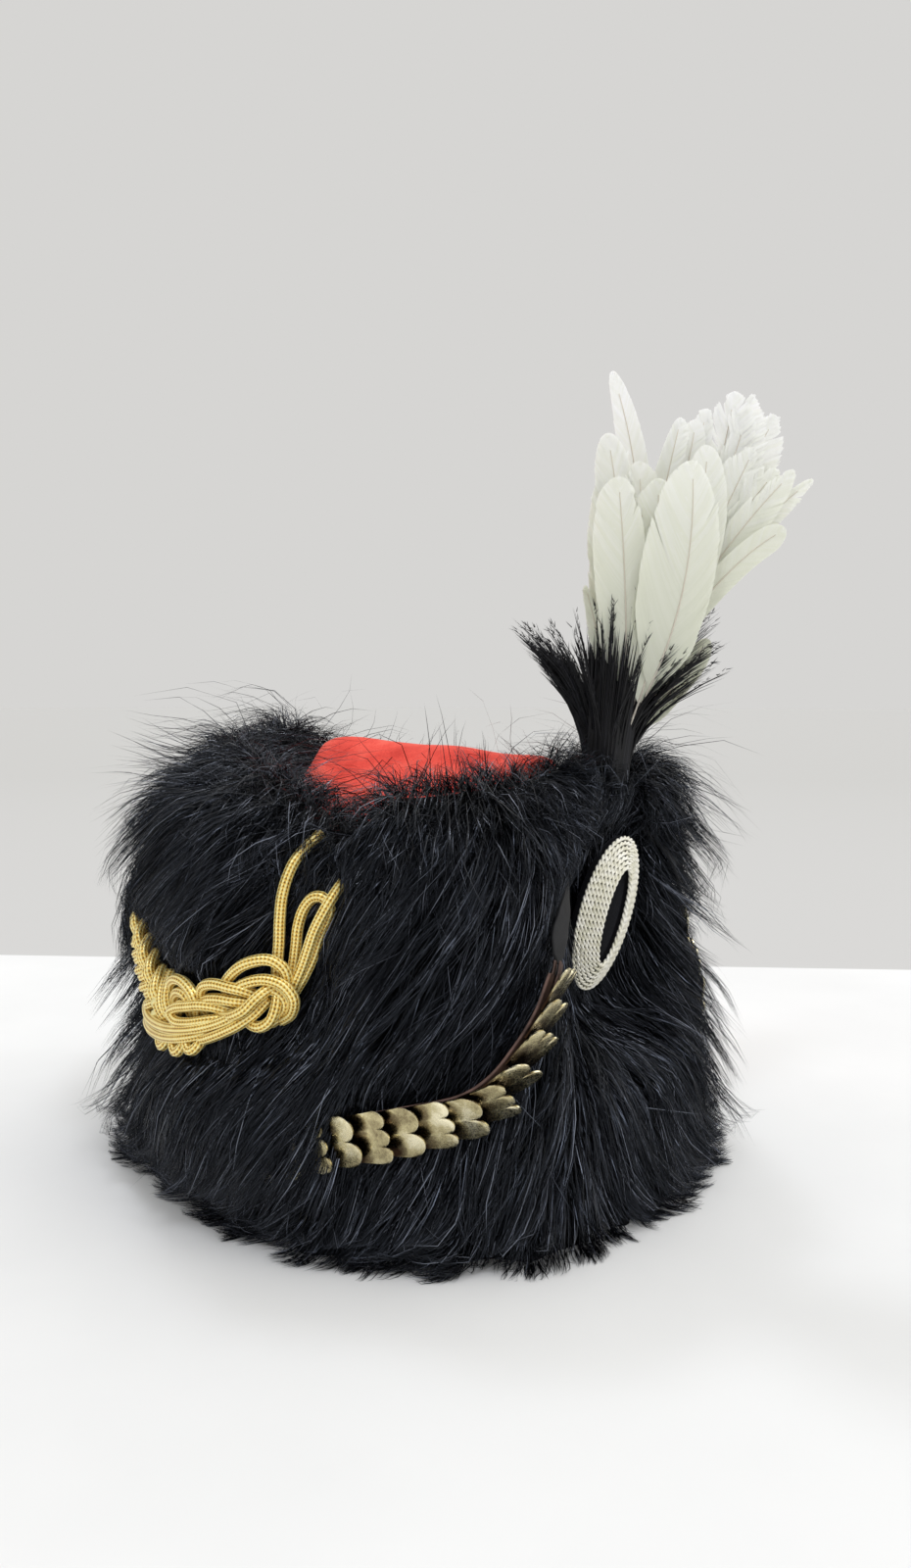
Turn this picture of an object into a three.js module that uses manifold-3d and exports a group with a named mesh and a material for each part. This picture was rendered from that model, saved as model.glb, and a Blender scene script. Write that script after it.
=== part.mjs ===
// Busby: a fur hussar's cap with a red bag, a white-over-black plume, an oval
// silver cockade, brass chin scales and a plaited gold cord.
//
// Units are millimetres, +Z is up, the front of the hat faces -Y and the
// wearer's left is +X. A "turn" is an angle round the hat in degrees: 0 is the
// front, 90 the wearer's left, -90 the wearer's right and 180 the back.

import * as THREE from 'three';
import { mergeVertices } from 'three/addons/utils/BufferGeometryUtils.js';
import Module from 'manifold-3d';

// ---------------------------------------------------------------- sizes

const HEAD_SIDE = 85; // half the head opening, side to side
const HEAD_FRONT = 97; // half the head opening, front to back
const WALL = 3; // thickness of the stiff cap
const CROWN = 168; // height of the crown's upper face
const CROWN_BEVEL = 2;
const CAP_TURNS = 48; // sections of the cap
const GAP = 0.4; // clearance between neighbouring pieces
const MERGE = 1e-4; // points nearer than this are one point
const ROUND_SIDES = 12; // sides of a rod

const FUR_SIDE = 130; // half the fur's width at mid height
const FUR_FRONT = 140; // half the fur's length at mid height
const FUR_TURNS = 72; // sections round the hat
const RECESS_SIDE = 66; // half the opening inside the fur rim, side to side
const RECESS_FRONT = 78; // half the opening inside the fur rim, front to back

const BAG_CLOTH = 2.4; // thickness of the felted bag cloth
const CORD_RADIUS = 2.6; // gold cord
const PLAIT_WIDTH = 27;
const PLAIT_THICK = 11;
const PLAIT_PITCH = 17; // distance from one crossing to the next

const SCALE_COUNT = 14; // brass scales on each side
const SCALE_PITCH = 13;
const FIRST_SCALE = 3; // distance from the strap's lower end to the first scale
const SCALE_LENGTH = 21;
const SCALE_WIDTH = 23;
const SCALE_THICK = 0.8;
const LOBE_STEPS = { 2: 4, 3: 3 }; // steps across one lobe of a scale with two or three
const SCALE_ROUNDING = 1.5; // how much further a scale reaches in its middle than at its edges
const SCALE_NOTCH = 4; // depth of the notches between its lobes
const SCALE_TILT = 12; // degrees that each scale lifts over the next one
const SCALE_DOME = 1.2; // rise of a scale's middle over its edges
const SCALE_CLEAR = 0.5; // space between the leather and a scale's root
const SCALE_ROOT = 0.86; // a scale's width at its root, as a part of its full width
const LEATHER_WIDTH = 19;
const LEATHER_THICK = 1.6;
const STRAP_WIDTH = 9;
const STRAP_THICK = 2;

const COCKADE_ROWS = 7; // rows of twisted cord round the velvet
const COCKADE_HALF = { wide: 22.5, tall: 37.5 };
const VELVET_HALF = { wide: 7.5, tall: 22.5 };
const COCKADE_RIM = 4; // height of the outermost cord over the back plate's foot
const COCKADE_RISE = 5.4; // how much higher the cord stands at the velvet
const COCKADE_PLATE = 1.5; // thickness of the cockade's back plate
const COCKADE_SEAT = COCKADE_PLATE + GAP; // underside of the cord rows
const COCKADE_SIDES = 36;
const COCKADE_PLACE = { x: -10, y: -113, z: 136.5, pitch: 11, roll: 8.5, yaw: 5 };

const PLUME_FOOT = { x: 0, y: -110, z: 203 };
const STEM = { radius: 2.6, y: PLUME_FOOT.y + 2, low: 177, high: 214 };
const STEM_HOLE = STEM.radius + 0.6; // radius of the hole in the fur
const FEATHER_THICK = 7;
const FEATHER_LEAN = 35; // how far behind its foot the plume's feathers turn their faces from

// Height of the fur's crest round the hat.
const RIM = [
  { turn: -180, top: 226 }, { turn: -165, top: 223 }, { turn: -145, top: 216 },
  { turn: -118, top: 211 }, { turn: -100, top: 206 }, { turn: -86, top: 197 },
  { turn: -73, top: 184 }, { turn: -60, top: 199 }, { turn: -35, top: 203 },
  { turn: -12, top: 197 }, { turn: 6, top: 197 }, { turn: 22, top: 207 },
  { turn: 40, top: 209 }, { turn: 52, top: 200 }, { turn: 64, top: 187 },
  { turn: 90, top: 185 }, { turn: 116, top: 187 }, { turn: 134, top: 193 },
  { turn: 150, top: 202 }, { turn: 160, top: 212 }, { turn: 170, top: 223 },
  { turn: 180, top: 226 },
];

// How far the fur stands out from its mid-height size, by height as a part of
// the crest's height.
const FUR_FLARE = [
  { part: 0, out: 17 }, { part: 0.07, out: 14 }, { part: 0.18, out: 10 },
  { part: 0.34, out: 5 }, { part: 0.52, out: 2 }, { part: 0.7, out: 0 },
  { part: 0.84, out: -2 }, { part: 0.93, out: -6 },
];

// Round top of the fur: "in" runs from the outer face (0) to the recess (1).
const FUR_CREST = [
  { in: 0.14, drop: 4.5 }, { in: 0.32, drop: 0 }, { in: 0.55, drop: 1 },
  { in: 0.8, drop: 9 }, { in: 0.97, drop: 22 },
];

// Dents in the fur: the parting at the front that holds the cockade, in three
// layers, the seam on the right side where the cords rise, the round shoulder
// of the back, the waist under the left chin scales, and two stretches where
// the foot flares less. A dent deepens between the heights "from" and "to" and
// fades between fadeFrom and fadeTo.
const DENTS = [
  { turn: -3, half: 22, depth: 20, from: 50, to: 96, fadeFrom: 230, fadeTo: 240 },
  { turn: -4, half: 19, depth: 13, from: 56, to: 98, fadeFrom: 168, fadeTo: 184 },
  { turn: -5, half: 17, depth: 8, from: 60, to: 98, fadeFrom: 104, fadeTo: 146 },
  { turn: -73, half: 10, depth: 8, from: 60, to: 130, fadeFrom: 230, fadeTo: 240 },
  { turn: -142, half: 52, depth: 24, from: 168, to: 220, fadeFrom: 230, fadeTo: 240 },
  { turn: 40, half: 24, depth: 7, from: 84, to: 120, fadeFrom: 165, fadeTo: 195 },
  { turn: 4, half: 26, depth: 12, from: -20, to: -10, fadeFrom: 20, fadeTo: 80 },
  { turn: -104, half: 22, depth: 16, from: -20, to: -10, fadeFrom: 12, fadeTo: 60 },
];

// The bag's cloth, row by row from the wearer's right, up over the ridge and
// down over the left side. back/front are the flat of each row; the cloth
// then falls to its foot at backEdge/frontEdge.
const BAG_ROWS = [
  { x: -58, top: 177, back: 24, backEdge: 29, front: -24, frontEdge: -29, foot: 173 },
  { x: -46, top: 188, back: 40, backEdge: 51, front: -46, frontEdge: -52, foot: 173 },
  { x: -24, top: 202, back: 50, backEdge: 67, front: -64, frontEdge: -69, foot: 174 },
  { x: -4, top: 212, back: 56, backEdge: 73, front: -72, frontEdge: -75, foot: 178 },
  { x: 24, top: 207, back: 50, backEdge: 69, front: -64, frontEdge: -69, foot: 180 },
  { x: 50, top: 199, back: 38, backEdge: 42, front: -38, frontEdge: -42, foot: 191 },
  { x: 72, top: 194, back: 37, backEdge: 39, front: -37, frontEdge: -39, foot: 192 },
  { x: 94, top: 192, back: 37, backEdge: 39, front: -37, frontEdge: -39, foot: 191 },
  { x: 116, top: 189, back: 36, backEdge: 38, front: -36, frontEdge: -38, foot: 188 },
  { x: 133, top: 176, back: 36, backEdge: 38, front: -36, frontEdge: -38, foot: 176 },
  { x: 141, top: 150, back: 34, backEdge: 36, front: -34, frontEdge: -36, foot: 150 },
  { x: 144, top: 118, back: 31, backEdge: 33, front: -31, frontEdge: -33, foot: 118 },
  { x: 146, top: 92, back: 24, backEdge: 26, front: -24, frontEdge: -26, foot: 93 },
  { x: 147, top: 74, back: 9, backEdge: 10, front: -9, frontEdge: -10, foot: 75 },
];
const BAG_RIDGE_FALL = 7; // the ridge is this much lower at the front
const BAG_RIDGE_REACH = 120; // the fall fades out this far from the ridge

// From a row's edge (at 0) to its flat (at 1) the cloth rises by 1 - fall.
const BAG_FALLS = [
  { at: 0, fall: 1 }, { at: 0.35, fall: 0.6 }, { at: 0.7, fall: 0.18 }, { at: 1, fall: 0 },
];
const BAG_FLATS = [0.25, 0.5, 0.75]; // places between the two ends of a row's flat

// Feathers of the plume, tip by tip from its foot: side is +X, ahead is -Y.
const WHITE_FEATHERS = [
  { side: -28, ahead: 26, up: 182, width: 14 }, { side: -34, ahead: 18, up: 150, width: 16 },
  { side: -20, ahead: 20, up: 130, width: 20 }, { side: -6, ahead: 34, up: 150, width: 24 },
  { side: 4, ahead: 42, up: 152, width: 26 }, { side: -14, ahead: 62, up: 166, width: 20 },
  { side: 6, ahead: 66, up: 168, width: 22 }, { side: 16, ahead: 74, up: 154, width: 20 },
  { side: -4, ahead: 84, up: 130, width: 22 }, { side: 16, ahead: 84, up: 122, width: 18 },
  { side: 8, ahead: 88, up: 98, width: 20 }, { side: 26, ahead: 34, up: 154, width: 22 },
  { side: 30, ahead: 54, up: 122, width: 22 }, { side: 4, ahead: 10, up: 144, width: 20 },
];
const BLACK_FEATHERS = [
  { side: -48, ahead: -8, up: 66 }, { side: -44, ahead: 8, up: 58 }, { side: -36, ahead: 24, up: 74 },
  { side: -22, ahead: 2, up: 82 }, { side: -8, ahead: -22, up: 70 }, { side: -26, ahead: 44, up: 70 },
  { side: -14, ahead: 60, up: 62 }, { side: 2, ahead: 68, up: 56 }, { side: 20, ahead: 62, up: 58 },
  { side: 34, ahead: 46, up: 64 }, { side: 42, ahead: 26, up: 66 }, { side: 40, ahead: 6, up: 62 },
  { side: 26, ahead: -12, up: 70 }, { side: 10, ahead: -18, up: 64 }, { side: -34, ahead: -14, up: 72 },
];

const BLACK_CORE = [
  { up: 0, half: 8 }, { up: 6, half: 12 }, { up: 18, half: 13 }, { up: 30, half: 13 },
];

// Routes on the fur's face: turn round the hat, height, and how far off it.
const CHIN_RIGHT = [
  { turn: -91, z: 36, off: 4.5, twist: 0 }, { turn: -80, z: 41, off: 4.5, twist: 0 },
  { turn: -69, z: 50, off: 4.5, twist: 0 }, { turn: -57.5, z: 58, off: 5.6, twist: 4 },
  { turn: -47, z: 67, off: 7.6, twist: 16 }, { turn: -42, z: 78, off: 10.8, twist: 29 },
  { turn: -38.2, z: 92, off: 12.8, twist: 39 }, { turn: -35, z: 107, off: 13.8, twist: 49 },
  { turn: -32.8, z: 121.5, off: 14, twist: 55 },
];
const CHIN_LEFT = CHIN_RIGHT.map(({ turn, z }) => ({ turn: -turn, z, off: 3.4, twist: 0 }));
const FRONT_STRAP = [
  { turn: -30.6, z: 126.5, off: 11.5, twist: 50 }, { turn: -29.6, z: 135, off: 10, twist: 38 },
  { turn: -26.8, z: 147, off: 8, twist: 26 }, { turn: -20.8, z: 162, off: 5.5, twist: 14 },
  { turn: -16.5, z: 179, off: 4.5, twist: 6 },
  { turn: -9, z: 190, off: 4, twist: 0 }, { turn: 0, z: 192, off: 4, twist: 0 },
  { turn: 9, z: 190, off: 4, twist: 0 }, { turn: 16, z: 178, off: 4.4, twist: 0 },
  { turn: 20, z: 160, off: 4, twist: 0 }, { turn: 23.5, z: 144, off: 4.5, twist: 0 },
  { turn: 26.5, z: 131, off: 4.5, twist: 0 },
];
const PLAIT_ROUTE = [
  { turn: -86, z: 102 }, { turn: -94, z: 95 }, { turn: -103, z: 92 }, { turn: -113, z: 97 },
  { turn: -123, z: 108 }, { turn: -133, z: 121 }, { turn: -145, z: 133 }, { turn: -160, z: 142 },
  { turn: -173, z: 146 },
];
const RISER_ROUTE = [
  { turn: -80.5, z: 129, off: 4 }, { turn: -80.1, z: 139, off: 4 }, { turn: -79.6, z: 150, off: 4 },
  { turn: -79, z: 160, off: 4 }, { turn: -78.1, z: 167, off: 4.4 }, { turn: -76.8, z: 174, off: 3.6 },
];
const BIGHT_ROUTE = [
  { turn: -77.6, z: 129.5, off: 4 }, { turn: -77.2, z: 137, off: 4 }, { turn: -76.6, z: 144, off: 4 },
  { turn: -75, z: 149.5, off: 4 }, { turn: -72.6, z: 150, off: 4 }, { turn: -71.5, z: 145, off: 3.6 },
  { turn: -72.4, z: 140, off: 3.4 }, { turn: -73.4, z: 134.5, off: 3.4 }, { turn: -73.9, z: 129.5, off: 3.4 },
];
const TAIL_ROUTE = [
  { turn: -74.2, z: 130.5, off: 9.4 }, { turn: -73.4, z: 137, off: 9.8 }, { turn: -72, z: 145, off: 10.2 },
  { turn: -70.7, z: 152, off: 9.2 }, { turn: -69.9, z: 157, off: 6 }, { turn: -69.4, z: 161, off: 3.4 },
];
const BACK_RISER_ROUTE = [
  { turn: -177.5, z: 168, off: 4 }, { turn: -177, z: 178, off: 4 }, { turn: -176, z: 188, off: 4 },
  { turn: -175, z: 198, off: 4 },
];

// Knots at the ends of the plait: half width, half height and half thickness.
const KNOTS = [
  { name: 'festoon_knot_right', turn: -78, z: 110, wide: 10.5, tall: 17, thick: 6.5 },
  { name: 'festoon_knot_back', turn: -178.5, z: 152, wide: 12, tall: 14, thick: 6.5 },
];
const KNOT_CLEAR = 2.4; // space between a knot and the fur

// ---------------------------------------------------------------- materials

function finish(color, roughness, metalness = 0) {
  return new THREE.MeshStandardMaterial({ color, roughness, metalness });
}
const BLACK_FUR = finish(0x17181c, 0.6);
const CAP_LEATHER = finish(0x2a2420, 0.7);
const RED_CLOTH = finish(0xd9433a, 0.9);
const WHITE_FEATHER = finish(0xebece4, 0.8);
const BLACK_FEATHER = finish(0x101113, 0.7);
const STEEL = finish(0x6d6f72, 0.4, 1);
const VELVET = finish(0x111114, 0.95);
const SILVER_CORD = finish(0xc9c9bc, 0.5, 0.4);
const BRASS = finish(0xa8935a, 0.4, 1);
const STRAP_LEATHER = finish(0x1f1d1d, 0.6);
const BROWN_LEATHER = finish(0x5a4238, 0.75);
const GOLD_CORD = finish(0xc8a050, 0.5, 0.4);

// ---------------------------------------------------------------- helpers

const rad = THREE.MathUtils.degToRad;

// Smooth value of a named column at one place of a table sorted by "key".
function along(table, key, value, at) {
  const last = table.length - 1;
  if (at <= table[0][key]) return table[0][value];
  if (at >= table[last][key]) return table[last][value];
  const next = table.findIndex((row) => row[key] > at);
  const low = table[next - 1];
  const high = table[next];
  const part = (at - low[key]) / (high[key] - low[key]);
  const smooth = part * part * (3 - 2 * part);
  return low[value] + (high[value] - low[value]) * smooth;
}

// Brings any turn into -180 to 180.
function wrapped(turn) {
  return ((turn + 540) % 360) - 180;
}

// A closed body from vertices and triangles: doubles merged, empty triangles
// dropped and faces pointing outwards.
function solid(points, triangles) {
  const raw = new THREE.BufferGeometry().setFromPoints(points);
  raw.setIndex(triangles);
  const merged = mergeVertices(raw, MERGE);
  const index = merged.index.array;
  const at = (i) => new THREE.Vector3().fromBufferAttribute(merged.attributes.position, i);
  const kept = [];
  let volume = 0;
  for (let i = 0; i < index.length; i += 3) {
    const [a, b, c] = [index[i], index[i + 1], index[i + 2]];
    if (a === b || b === c || a === c) continue;
    kept.push([a, b, c]);
    volume += at(a).dot(at(b).cross(at(c)));
  }
  const outward = kept.map(([a, b, c]) => (volume < 0 ? [a, c, b] : [a, b, c]));
  merged.setIndex(outward.flat());
  return merged;
}

// Joins rings of equal length into one body. A loop of rings closes on itself;
// otherwise both ends are closed with a fan.
function loft(rings, loop = false) {
  const size = rings[0].length;
  const points = rings.flat();
  const triangles = [];
  const spans = loop ? rings.length : rings.length - 1;
  for (let r = 0; r < spans; r++) {
    const here = r * size;
    const there = ((r + 1) % rings.length) * size;
    for (let i = 0; i < size; i++) {
      const j = (i + 1) % size;
      triangles.push(here + i, there + i, there + j, here + i, there + j, here + j);
    }
  }
  if (!loop) {
    for (const [start, flip] of [[0, false], [(rings.length - 1) * size, true]]) {
      const middle = new THREE.Vector3();
      for (let i = 0; i < size; i++) middle.add(points[start + i]);
      const hub = points.push(middle.divideScalar(size)) - 1;
      for (let i = 0; i < size; i++) {
        const j = (i + 1) % size;
        triangles.push(hub, start + (flip ? j : i), start + (flip ? i : j));
      }
    }
  }
  return solid(points, triangles);
}

// A sheet of cloth or metal: a grid of points given a thickness inwards.
function sheet(grid, thick) {
  const rows = grid.length;
  const columns = grid[0].length;
  const inner = grid.map((row, r) => row.map((point, c) => {
    const rowWay = grid[Math.min(r + 1, rows - 1)][c].clone().sub(grid[Math.max(r - 1, 0)][c]);
    const columnWay = row[Math.min(c + 1, columns - 1)].clone().sub(row[Math.max(c - 1, 0)]);
    return rowWay.cross(columnWay).normalize().multiplyScalar(thick).add(point);
  }));
  const rings = grid.map((row, r) => [...row, ...inner[r].slice().reverse()]);
  const points = rings.flat();
  const size = columns * 2;
  const triangles = [];
  for (let r = 0; r < rows - 1; r++) {
    for (let i = 0; i < size; i++) {
      const a = r * size + i;
      const b = r * size + ((i + 1) % size);
      triangles.push(a, a + size, b + size, a, b + size, b);
    }
  }
  for (const [start, flip] of [[0, false], [(rows - 1) * size, true]]) {
    for (let c = 0; c < columns - 1; c++) {
      const quad = [start + c, start + c + 1, start + size - 2 - c, start + size - 1 - c];
      const [a, b, d, e] = flip ? quad.reverse() : quad;
      triangles.push(a, b, d, a, d, e);
    }
  }
  return solid(points, triangles);
}

// Joins several closed geometries into one body.
const wasm = await Module();
wasm.setup();
function manifold(geometry) {
  const plain = geometry.clone();
  plain.deleteAttribute('normal');
  plain.deleteAttribute('uv');
  const merged = mergeVertices(plain, MERGE);
  return new wasm.Manifold(new wasm.Mesh({
    numProp: 3,
    vertProperties: new Float32Array(merged.attributes.position.array),
    triVerts: new Uint32Array(merged.index.array),
  }));
}
function fromManifold(body) {
  const mesh = body.getMesh();
  const points = [];
  for (let i = 0; i < mesh.vertProperties.length; i += mesh.numProp) {
    points.push(new THREE.Vector3(...mesh.vertProperties.slice(i, i + 3)));
  }
  return solid(points, Array.from(mesh.triVerts));
}
function joined(geometries) {
  return fromManifold(geometries.map(manifold).reduce((sum, next) => sum.add(next)));
}
function cut(geometry, tools) {
  return fromManifold(tools.map(manifold).reduce((rest, tool) => rest.subtract(tool), manifold(geometry)));
}

// ---------------------------------------------------------------- the fur's face

function oval(turn, side, front, z) {
  return new THREE.Vector3(side * Math.sin(rad(turn)), -front * Math.cos(rad(turn)), z);
}

function crest(turn) {
  return along(RIM, 'turn', 'top', wrapped(turn));
}

// Locks of fur: gentle waves round the hat that grow towards the skirt.
function locks(turn, part) {
  const skirt = 1 - THREE.MathUtils.smoothstep(part, 0, 0.12);
  const wave = Math.sin(rad(turn * 7 + 40)) + 0.7 * Math.sin(rad(turn * 12 + 200));
  const tuft = Math.sin(rad(turn * 19)) + Math.sin(rad(turn * 29 + 90));
  return 1.1 * wave + 2.2 * skirt * tuft;
}

function dent(turn, z) {
  let depth = 0;
  for (const row of DENTS) {
    const away = wrapped(turn - row.turn) / row.half;
    const rise = THREE.MathUtils.smoothstep(z, row.from, row.to);
    const fade = 1 - THREE.MathUtils.smoothstep(z, row.fadeFrom, row.fadeTo);
    depth += row.depth * Math.exp(-(away ** 4)) * rise * fade;
  }
  return depth;
}

// How far the outer face stands from the mid-height oval.
function furOut(turn, z) {
  const part = z / crest(turn);
  return along(FUR_FLARE, 'part', 'out', part) + locks(turn, part) - dent(turn, z);
}

// Point on the fur's face, or "off" millimetres outside it.
function onFur(turn, z, off = 0) {
  const out = furOut(turn, z) + off;
  return oval(turn, FUR_SIDE + out, FUR_FRONT + out, z);
}

// Outward direction of the fur's face, level with the floor.
function awayFromHat(turn) {
  return new THREE.Vector3(Math.sin(rad(turn)) / FUR_SIDE, -Math.cos(rad(turn)) / FUR_FRONT, 0).normalize();
}

// ---------------------------------------------------------------- cap and fur

function capBody() {
  const profile = [
    { side: 0, z: CROWN }, { side: HEAD_SIDE, z: CROWN },
    { side: HEAD_SIDE + WALL, z: CROWN - CROWN_BEVEL }, { side: HEAD_SIDE + WALL, z: 0 },
    { side: HEAD_SIDE, z: 0 }, { side: HEAD_SIDE, z: CROWN - WALL }, { side: 0, z: CROWN - WALL },
  ];
  const rings = [];
  for (let step = 0; step < CAP_TURNS; step++) {
    const turn = (step * 360) / CAP_TURNS;
    rings.push(profile.map(({ side, z }) => {
      const front = side > 0 ? side + HEAD_FRONT - HEAD_SIDE : 0;
      return oval(turn, side, front, z);
    }));
  }
  return loft(rings, true);
}

// One closed section of the fur ring at a turn round the hat.
function furSection(turn) {
  const top = crest(turn);
  const section = FUR_FLARE.map(({ part }) => onFur(turn, part * top));
  const outer = section[section.length - 1];
  const inner = oval(turn, RECESS_SIDE, RECESS_FRONT, outer.z);
  for (const { in: inwards, drop } of FUR_CREST) {
    const point = outer.clone().lerp(inner, inwards);
    point.z = top - drop;
    section.push(point);
  }
  const crownLevel = CROWN + GAP;
  section.push(oval(turn, RECESS_SIDE, RECESS_FRONT, crownLevel));
  section.push(oval(turn, HEAD_SIDE + WALL + GAP, HEAD_FRONT + WALL + GAP, crownLevel));
  section.push(oval(turn, HEAD_SIDE + WALL + GAP, HEAD_FRONT + WALL + GAP, 0));
  return section;
}

function furRing() {
  const rings = [];
  for (let step = 0; step < FUR_TURNS; step++) {
    rings.push(furSection(-180 + (step * 360) / FUR_TURNS));
  }
  return cut(loft(rings, true), [stemRod(STEM_HOLE, STEM.low - 1, STEM.high)]);
}

// ---------------------------------------------------------------- bag

// Point of the bag's cloth in one row: y across it, and "fall" from the row's
// top (0) to its foot (1). Past the fur's side the row bends round the hat.
function onBag(row, y, fall) {
  const ridge = BAG_ROWS.reduce((highest, other) => (other.top > highest.top ? other : highest));
  const ridgeFall = BAG_RIDGE_FALL * Math.max(0, 1 - Math.abs(row.x - ridge.x) / BAG_RIDGE_REACH);
  const frontness = THREE.MathUtils.clamp((row.back - y) / (row.back - row.front), 0, 1);
  const top = row.top - ridgeFall * frontness;
  const bend = row.x > FUR_SIDE ? row.x * (1 - Math.sqrt(1 - (y / FUR_FRONT) ** 2)) : 0;
  return new THREE.Vector3(row.x - bend, y, top - fall * (top - row.foot));
}

function bag() {
  const between = THREE.MathUtils.lerp;
  const grid = BAG_ROWS.map((row) => {
    const back = BAG_FALLS.map(({ at, fall }) => onBag(row, between(row.backEdge, row.back, at), fall));
    const flat = BAG_FLATS.map((at) => onBag(row, between(row.back, row.front, at), 0));
    const front = BAG_FALLS.map(({ at, fall }) => onBag(row, between(row.frontEdge, row.front, at), fall));
    return [...back, ...flat, ...front.reverse()];
  });
  return sheet(grid, BAG_CLOTH);
}

// ---------------------------------------------------------------- plume

function levelRing(radius, x, y, z) {
  const ring = [];
  for (let i = 0; i < ROUND_SIDES; i++) {
    const turn = (i * 2 * Math.PI) / ROUND_SIDES;
    ring.push(new THREE.Vector3(x + radius * Math.cos(turn), y + radius * Math.sin(turn), z));
  }
  return ring;
}

// Upright rod in the plume's foot, from one height to another.
function stemRod(radius, low, high) {
  return loft([low, high].map((z) => levelRing(radius, PLUME_FOOT.x, STEM.y, z)));
}

// Middle line of a feather, from its start over the foot to its tip. It
// leaves upright: its elbow is half way up and only a fifth of the way out.
function featherSpine({ side, ahead, up, start }) {
  const foot = new THREE.Vector3(PLUME_FOOT.x, PLUME_FOOT.y, PLUME_FOOT.z);
  const place = (out, height) => foot.clone().add(new THREE.Vector3(side * out, -ahead * out, height));
  const elbow = place(start.spread + 0.22, (up + start.up) / 2);
  return new THREE.QuadraticBezierCurve3(place(start.spread, start.up), elbow, place(1, up));
}

// How wide a feather is at one part of its length: narrow at the quill, widest
// near the middle and drawn out to the tip. A larger "full" lifts the wide part.
function featherSwell(part, full) {
  const quill = 0.12;
  const end = 0.98;
  return Math.sin(Math.PI * THREE.MathUtils.lerp(quill, end, part) ** full) ** 0.6;
}

// One feather as a flat six-sided blade along its spine.
function feather({ width, thick, full, steps, ...row }) {
  const sides = 6;
  const spine = featherSpine(row);
  const outward = new THREE.Vector3(row.side, FEATHER_LEAN - row.ahead, 1).normalize();
  const rings = [];
  for (let step = 0; step <= steps; step++) {
    const part = step / steps;
    const way = spine.getTangent(part);
    const across = way.clone().cross(outward).normalize();
    const through = across.clone().cross(way).normalize();
    const swell = featherSwell(part, full);
    const halfWide = 0.5 * width * swell;
    const halfThick = 0.5 * thick * THREE.MathUtils.lerp(0.25, 1, swell);
    const ring = [];
    for (let i = 0; i < sides; i++) {
      const turn = (i * 2 * Math.PI) / sides;
      ring.push(spine.getPoint(part)
        .addScaledVector(across, halfWide * Math.cos(turn))
        .addScaledVector(through, halfThick * Math.sin(turn)));
    }
    rings.push(ring);
  }
  return loft(rings);
}

// The white feathers together; "room" makes them larger all round, to cut the
// space they need out of the black tuft.
function whitePlume(room = 0) {
  const start = { up: 40 - room, spread: 0.1 };
  return joined(WHITE_FEATHERS.map((row) => feather({
    ...row, width: row.width + 2 * room, thick: FEATHER_THICK + 2 * room, start, full: 1.25, steps: 6,
  })));
}

// The black tuft: spikes round a core that leans ahead by a fifth of its rise.
function blackPlume() {
  const start = { up: 4, spread: 0.08 };
  const spikes = BLACK_FEATHERS.map((row) => feather({
    ...row, width: 9, thick: FEATHER_THICK, start, full: 0.8, steps: 5,
  }));
  const core = BLACK_CORE.map(({ up, half }) => (
    levelRing(half, PLUME_FOOT.x, PLUME_FOOT.y - up / 5, PLUME_FOOT.z + up)));
  const stemRoom = stemRod(STEM_HOLE, STEM.low, STEM.high + GAP);
  return cut(joined([loft(core), ...spikes]), [whitePlume(GAP), stemRoom]);
}

// ---------------------------------------------------------------- cockade

function ovalRing({ wide, tall }, z) {
  const ring = [];
  for (let i = 0; i < COCKADE_SIDES; i++) {
    const turn = (i * 2 * Math.PI) / COCKADE_SIDES;
    ring.push(new THREE.Vector3(wide * Math.cos(turn), tall * Math.sin(turn), z));
  }
  return ring;
}

// Ring of the cockade's cord face: part runs from the rim (0) to the velvet
// (1), and "rise" is how far up the dome, from rim to velvet, its height is.
function cordRing(part, rise) {
  const size = {
    wide: THREE.MathUtils.lerp(COCKADE_HALF.wide, VELVET_HALF.wide, part),
    tall: THREE.MathUtils.lerp(COCKADE_HALF.tall, VELVET_HALF.tall, part),
  };
  return ovalRing(size, COCKADE_RIM + COCKADE_RISE * rise);
}

// The cord rows as one stepped dome round the velvet. Each row has a ridge
// that is half a row wide.
function cockadeCord() {
  const lower = (ring) => ring.map(({ x, y }) => new THREE.Vector3(x, y, COCKADE_SEAT));
  const rings = [lower(cordRing(0, 0))];
  for (let row = 0; row < COCKADE_ROWS; row++) {
    rings.push(cordRing((row + 0.12) / COCKADE_ROWS, row / COCKADE_ROWS));
    rings.push(cordRing((row + 0.62) / COCKADE_ROWS, (row + 1) / COCKADE_ROWS));
  }
  rings.push(lower(cordRing(1, 1)));
  const sections = rings[0].map((_, i) => rings.map((ring) => ring[i]));
  return loft(sections, true);
}

// Back plate and the velvet pad that swells in the middle of the cord rows.
function cockadeCentre() {
  const plate = { wide: COCKADE_HALF.wide - 1, tall: COCKADE_HALF.tall - 1 };
  const pad = { wide: VELVET_HALF.wide - GAP, tall: VELVET_HALF.tall - GAP };
  return loft([
    ovalRing(plate, 0), ovalRing(plate, COCKADE_PLATE), ovalRing(pad, COCKADE_PLATE), ovalRing(pad, 6.5),
    ovalRing({ wide: pad.wide * 0.6, tall: pad.tall * 0.75 }, 7.4),
  ]);
}

// ---------------------------------------------------------------- straps, scales, cords

// Smooth route on the fur from a table of turns, heights and offsets.
function routeOnFur(rows) {
  const points = rows.map(({ turn, z, off }) => onFur(turn, z, off));
  return new THREE.CatmullRomCurve3(points, false, 'centripetal');
}

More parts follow.
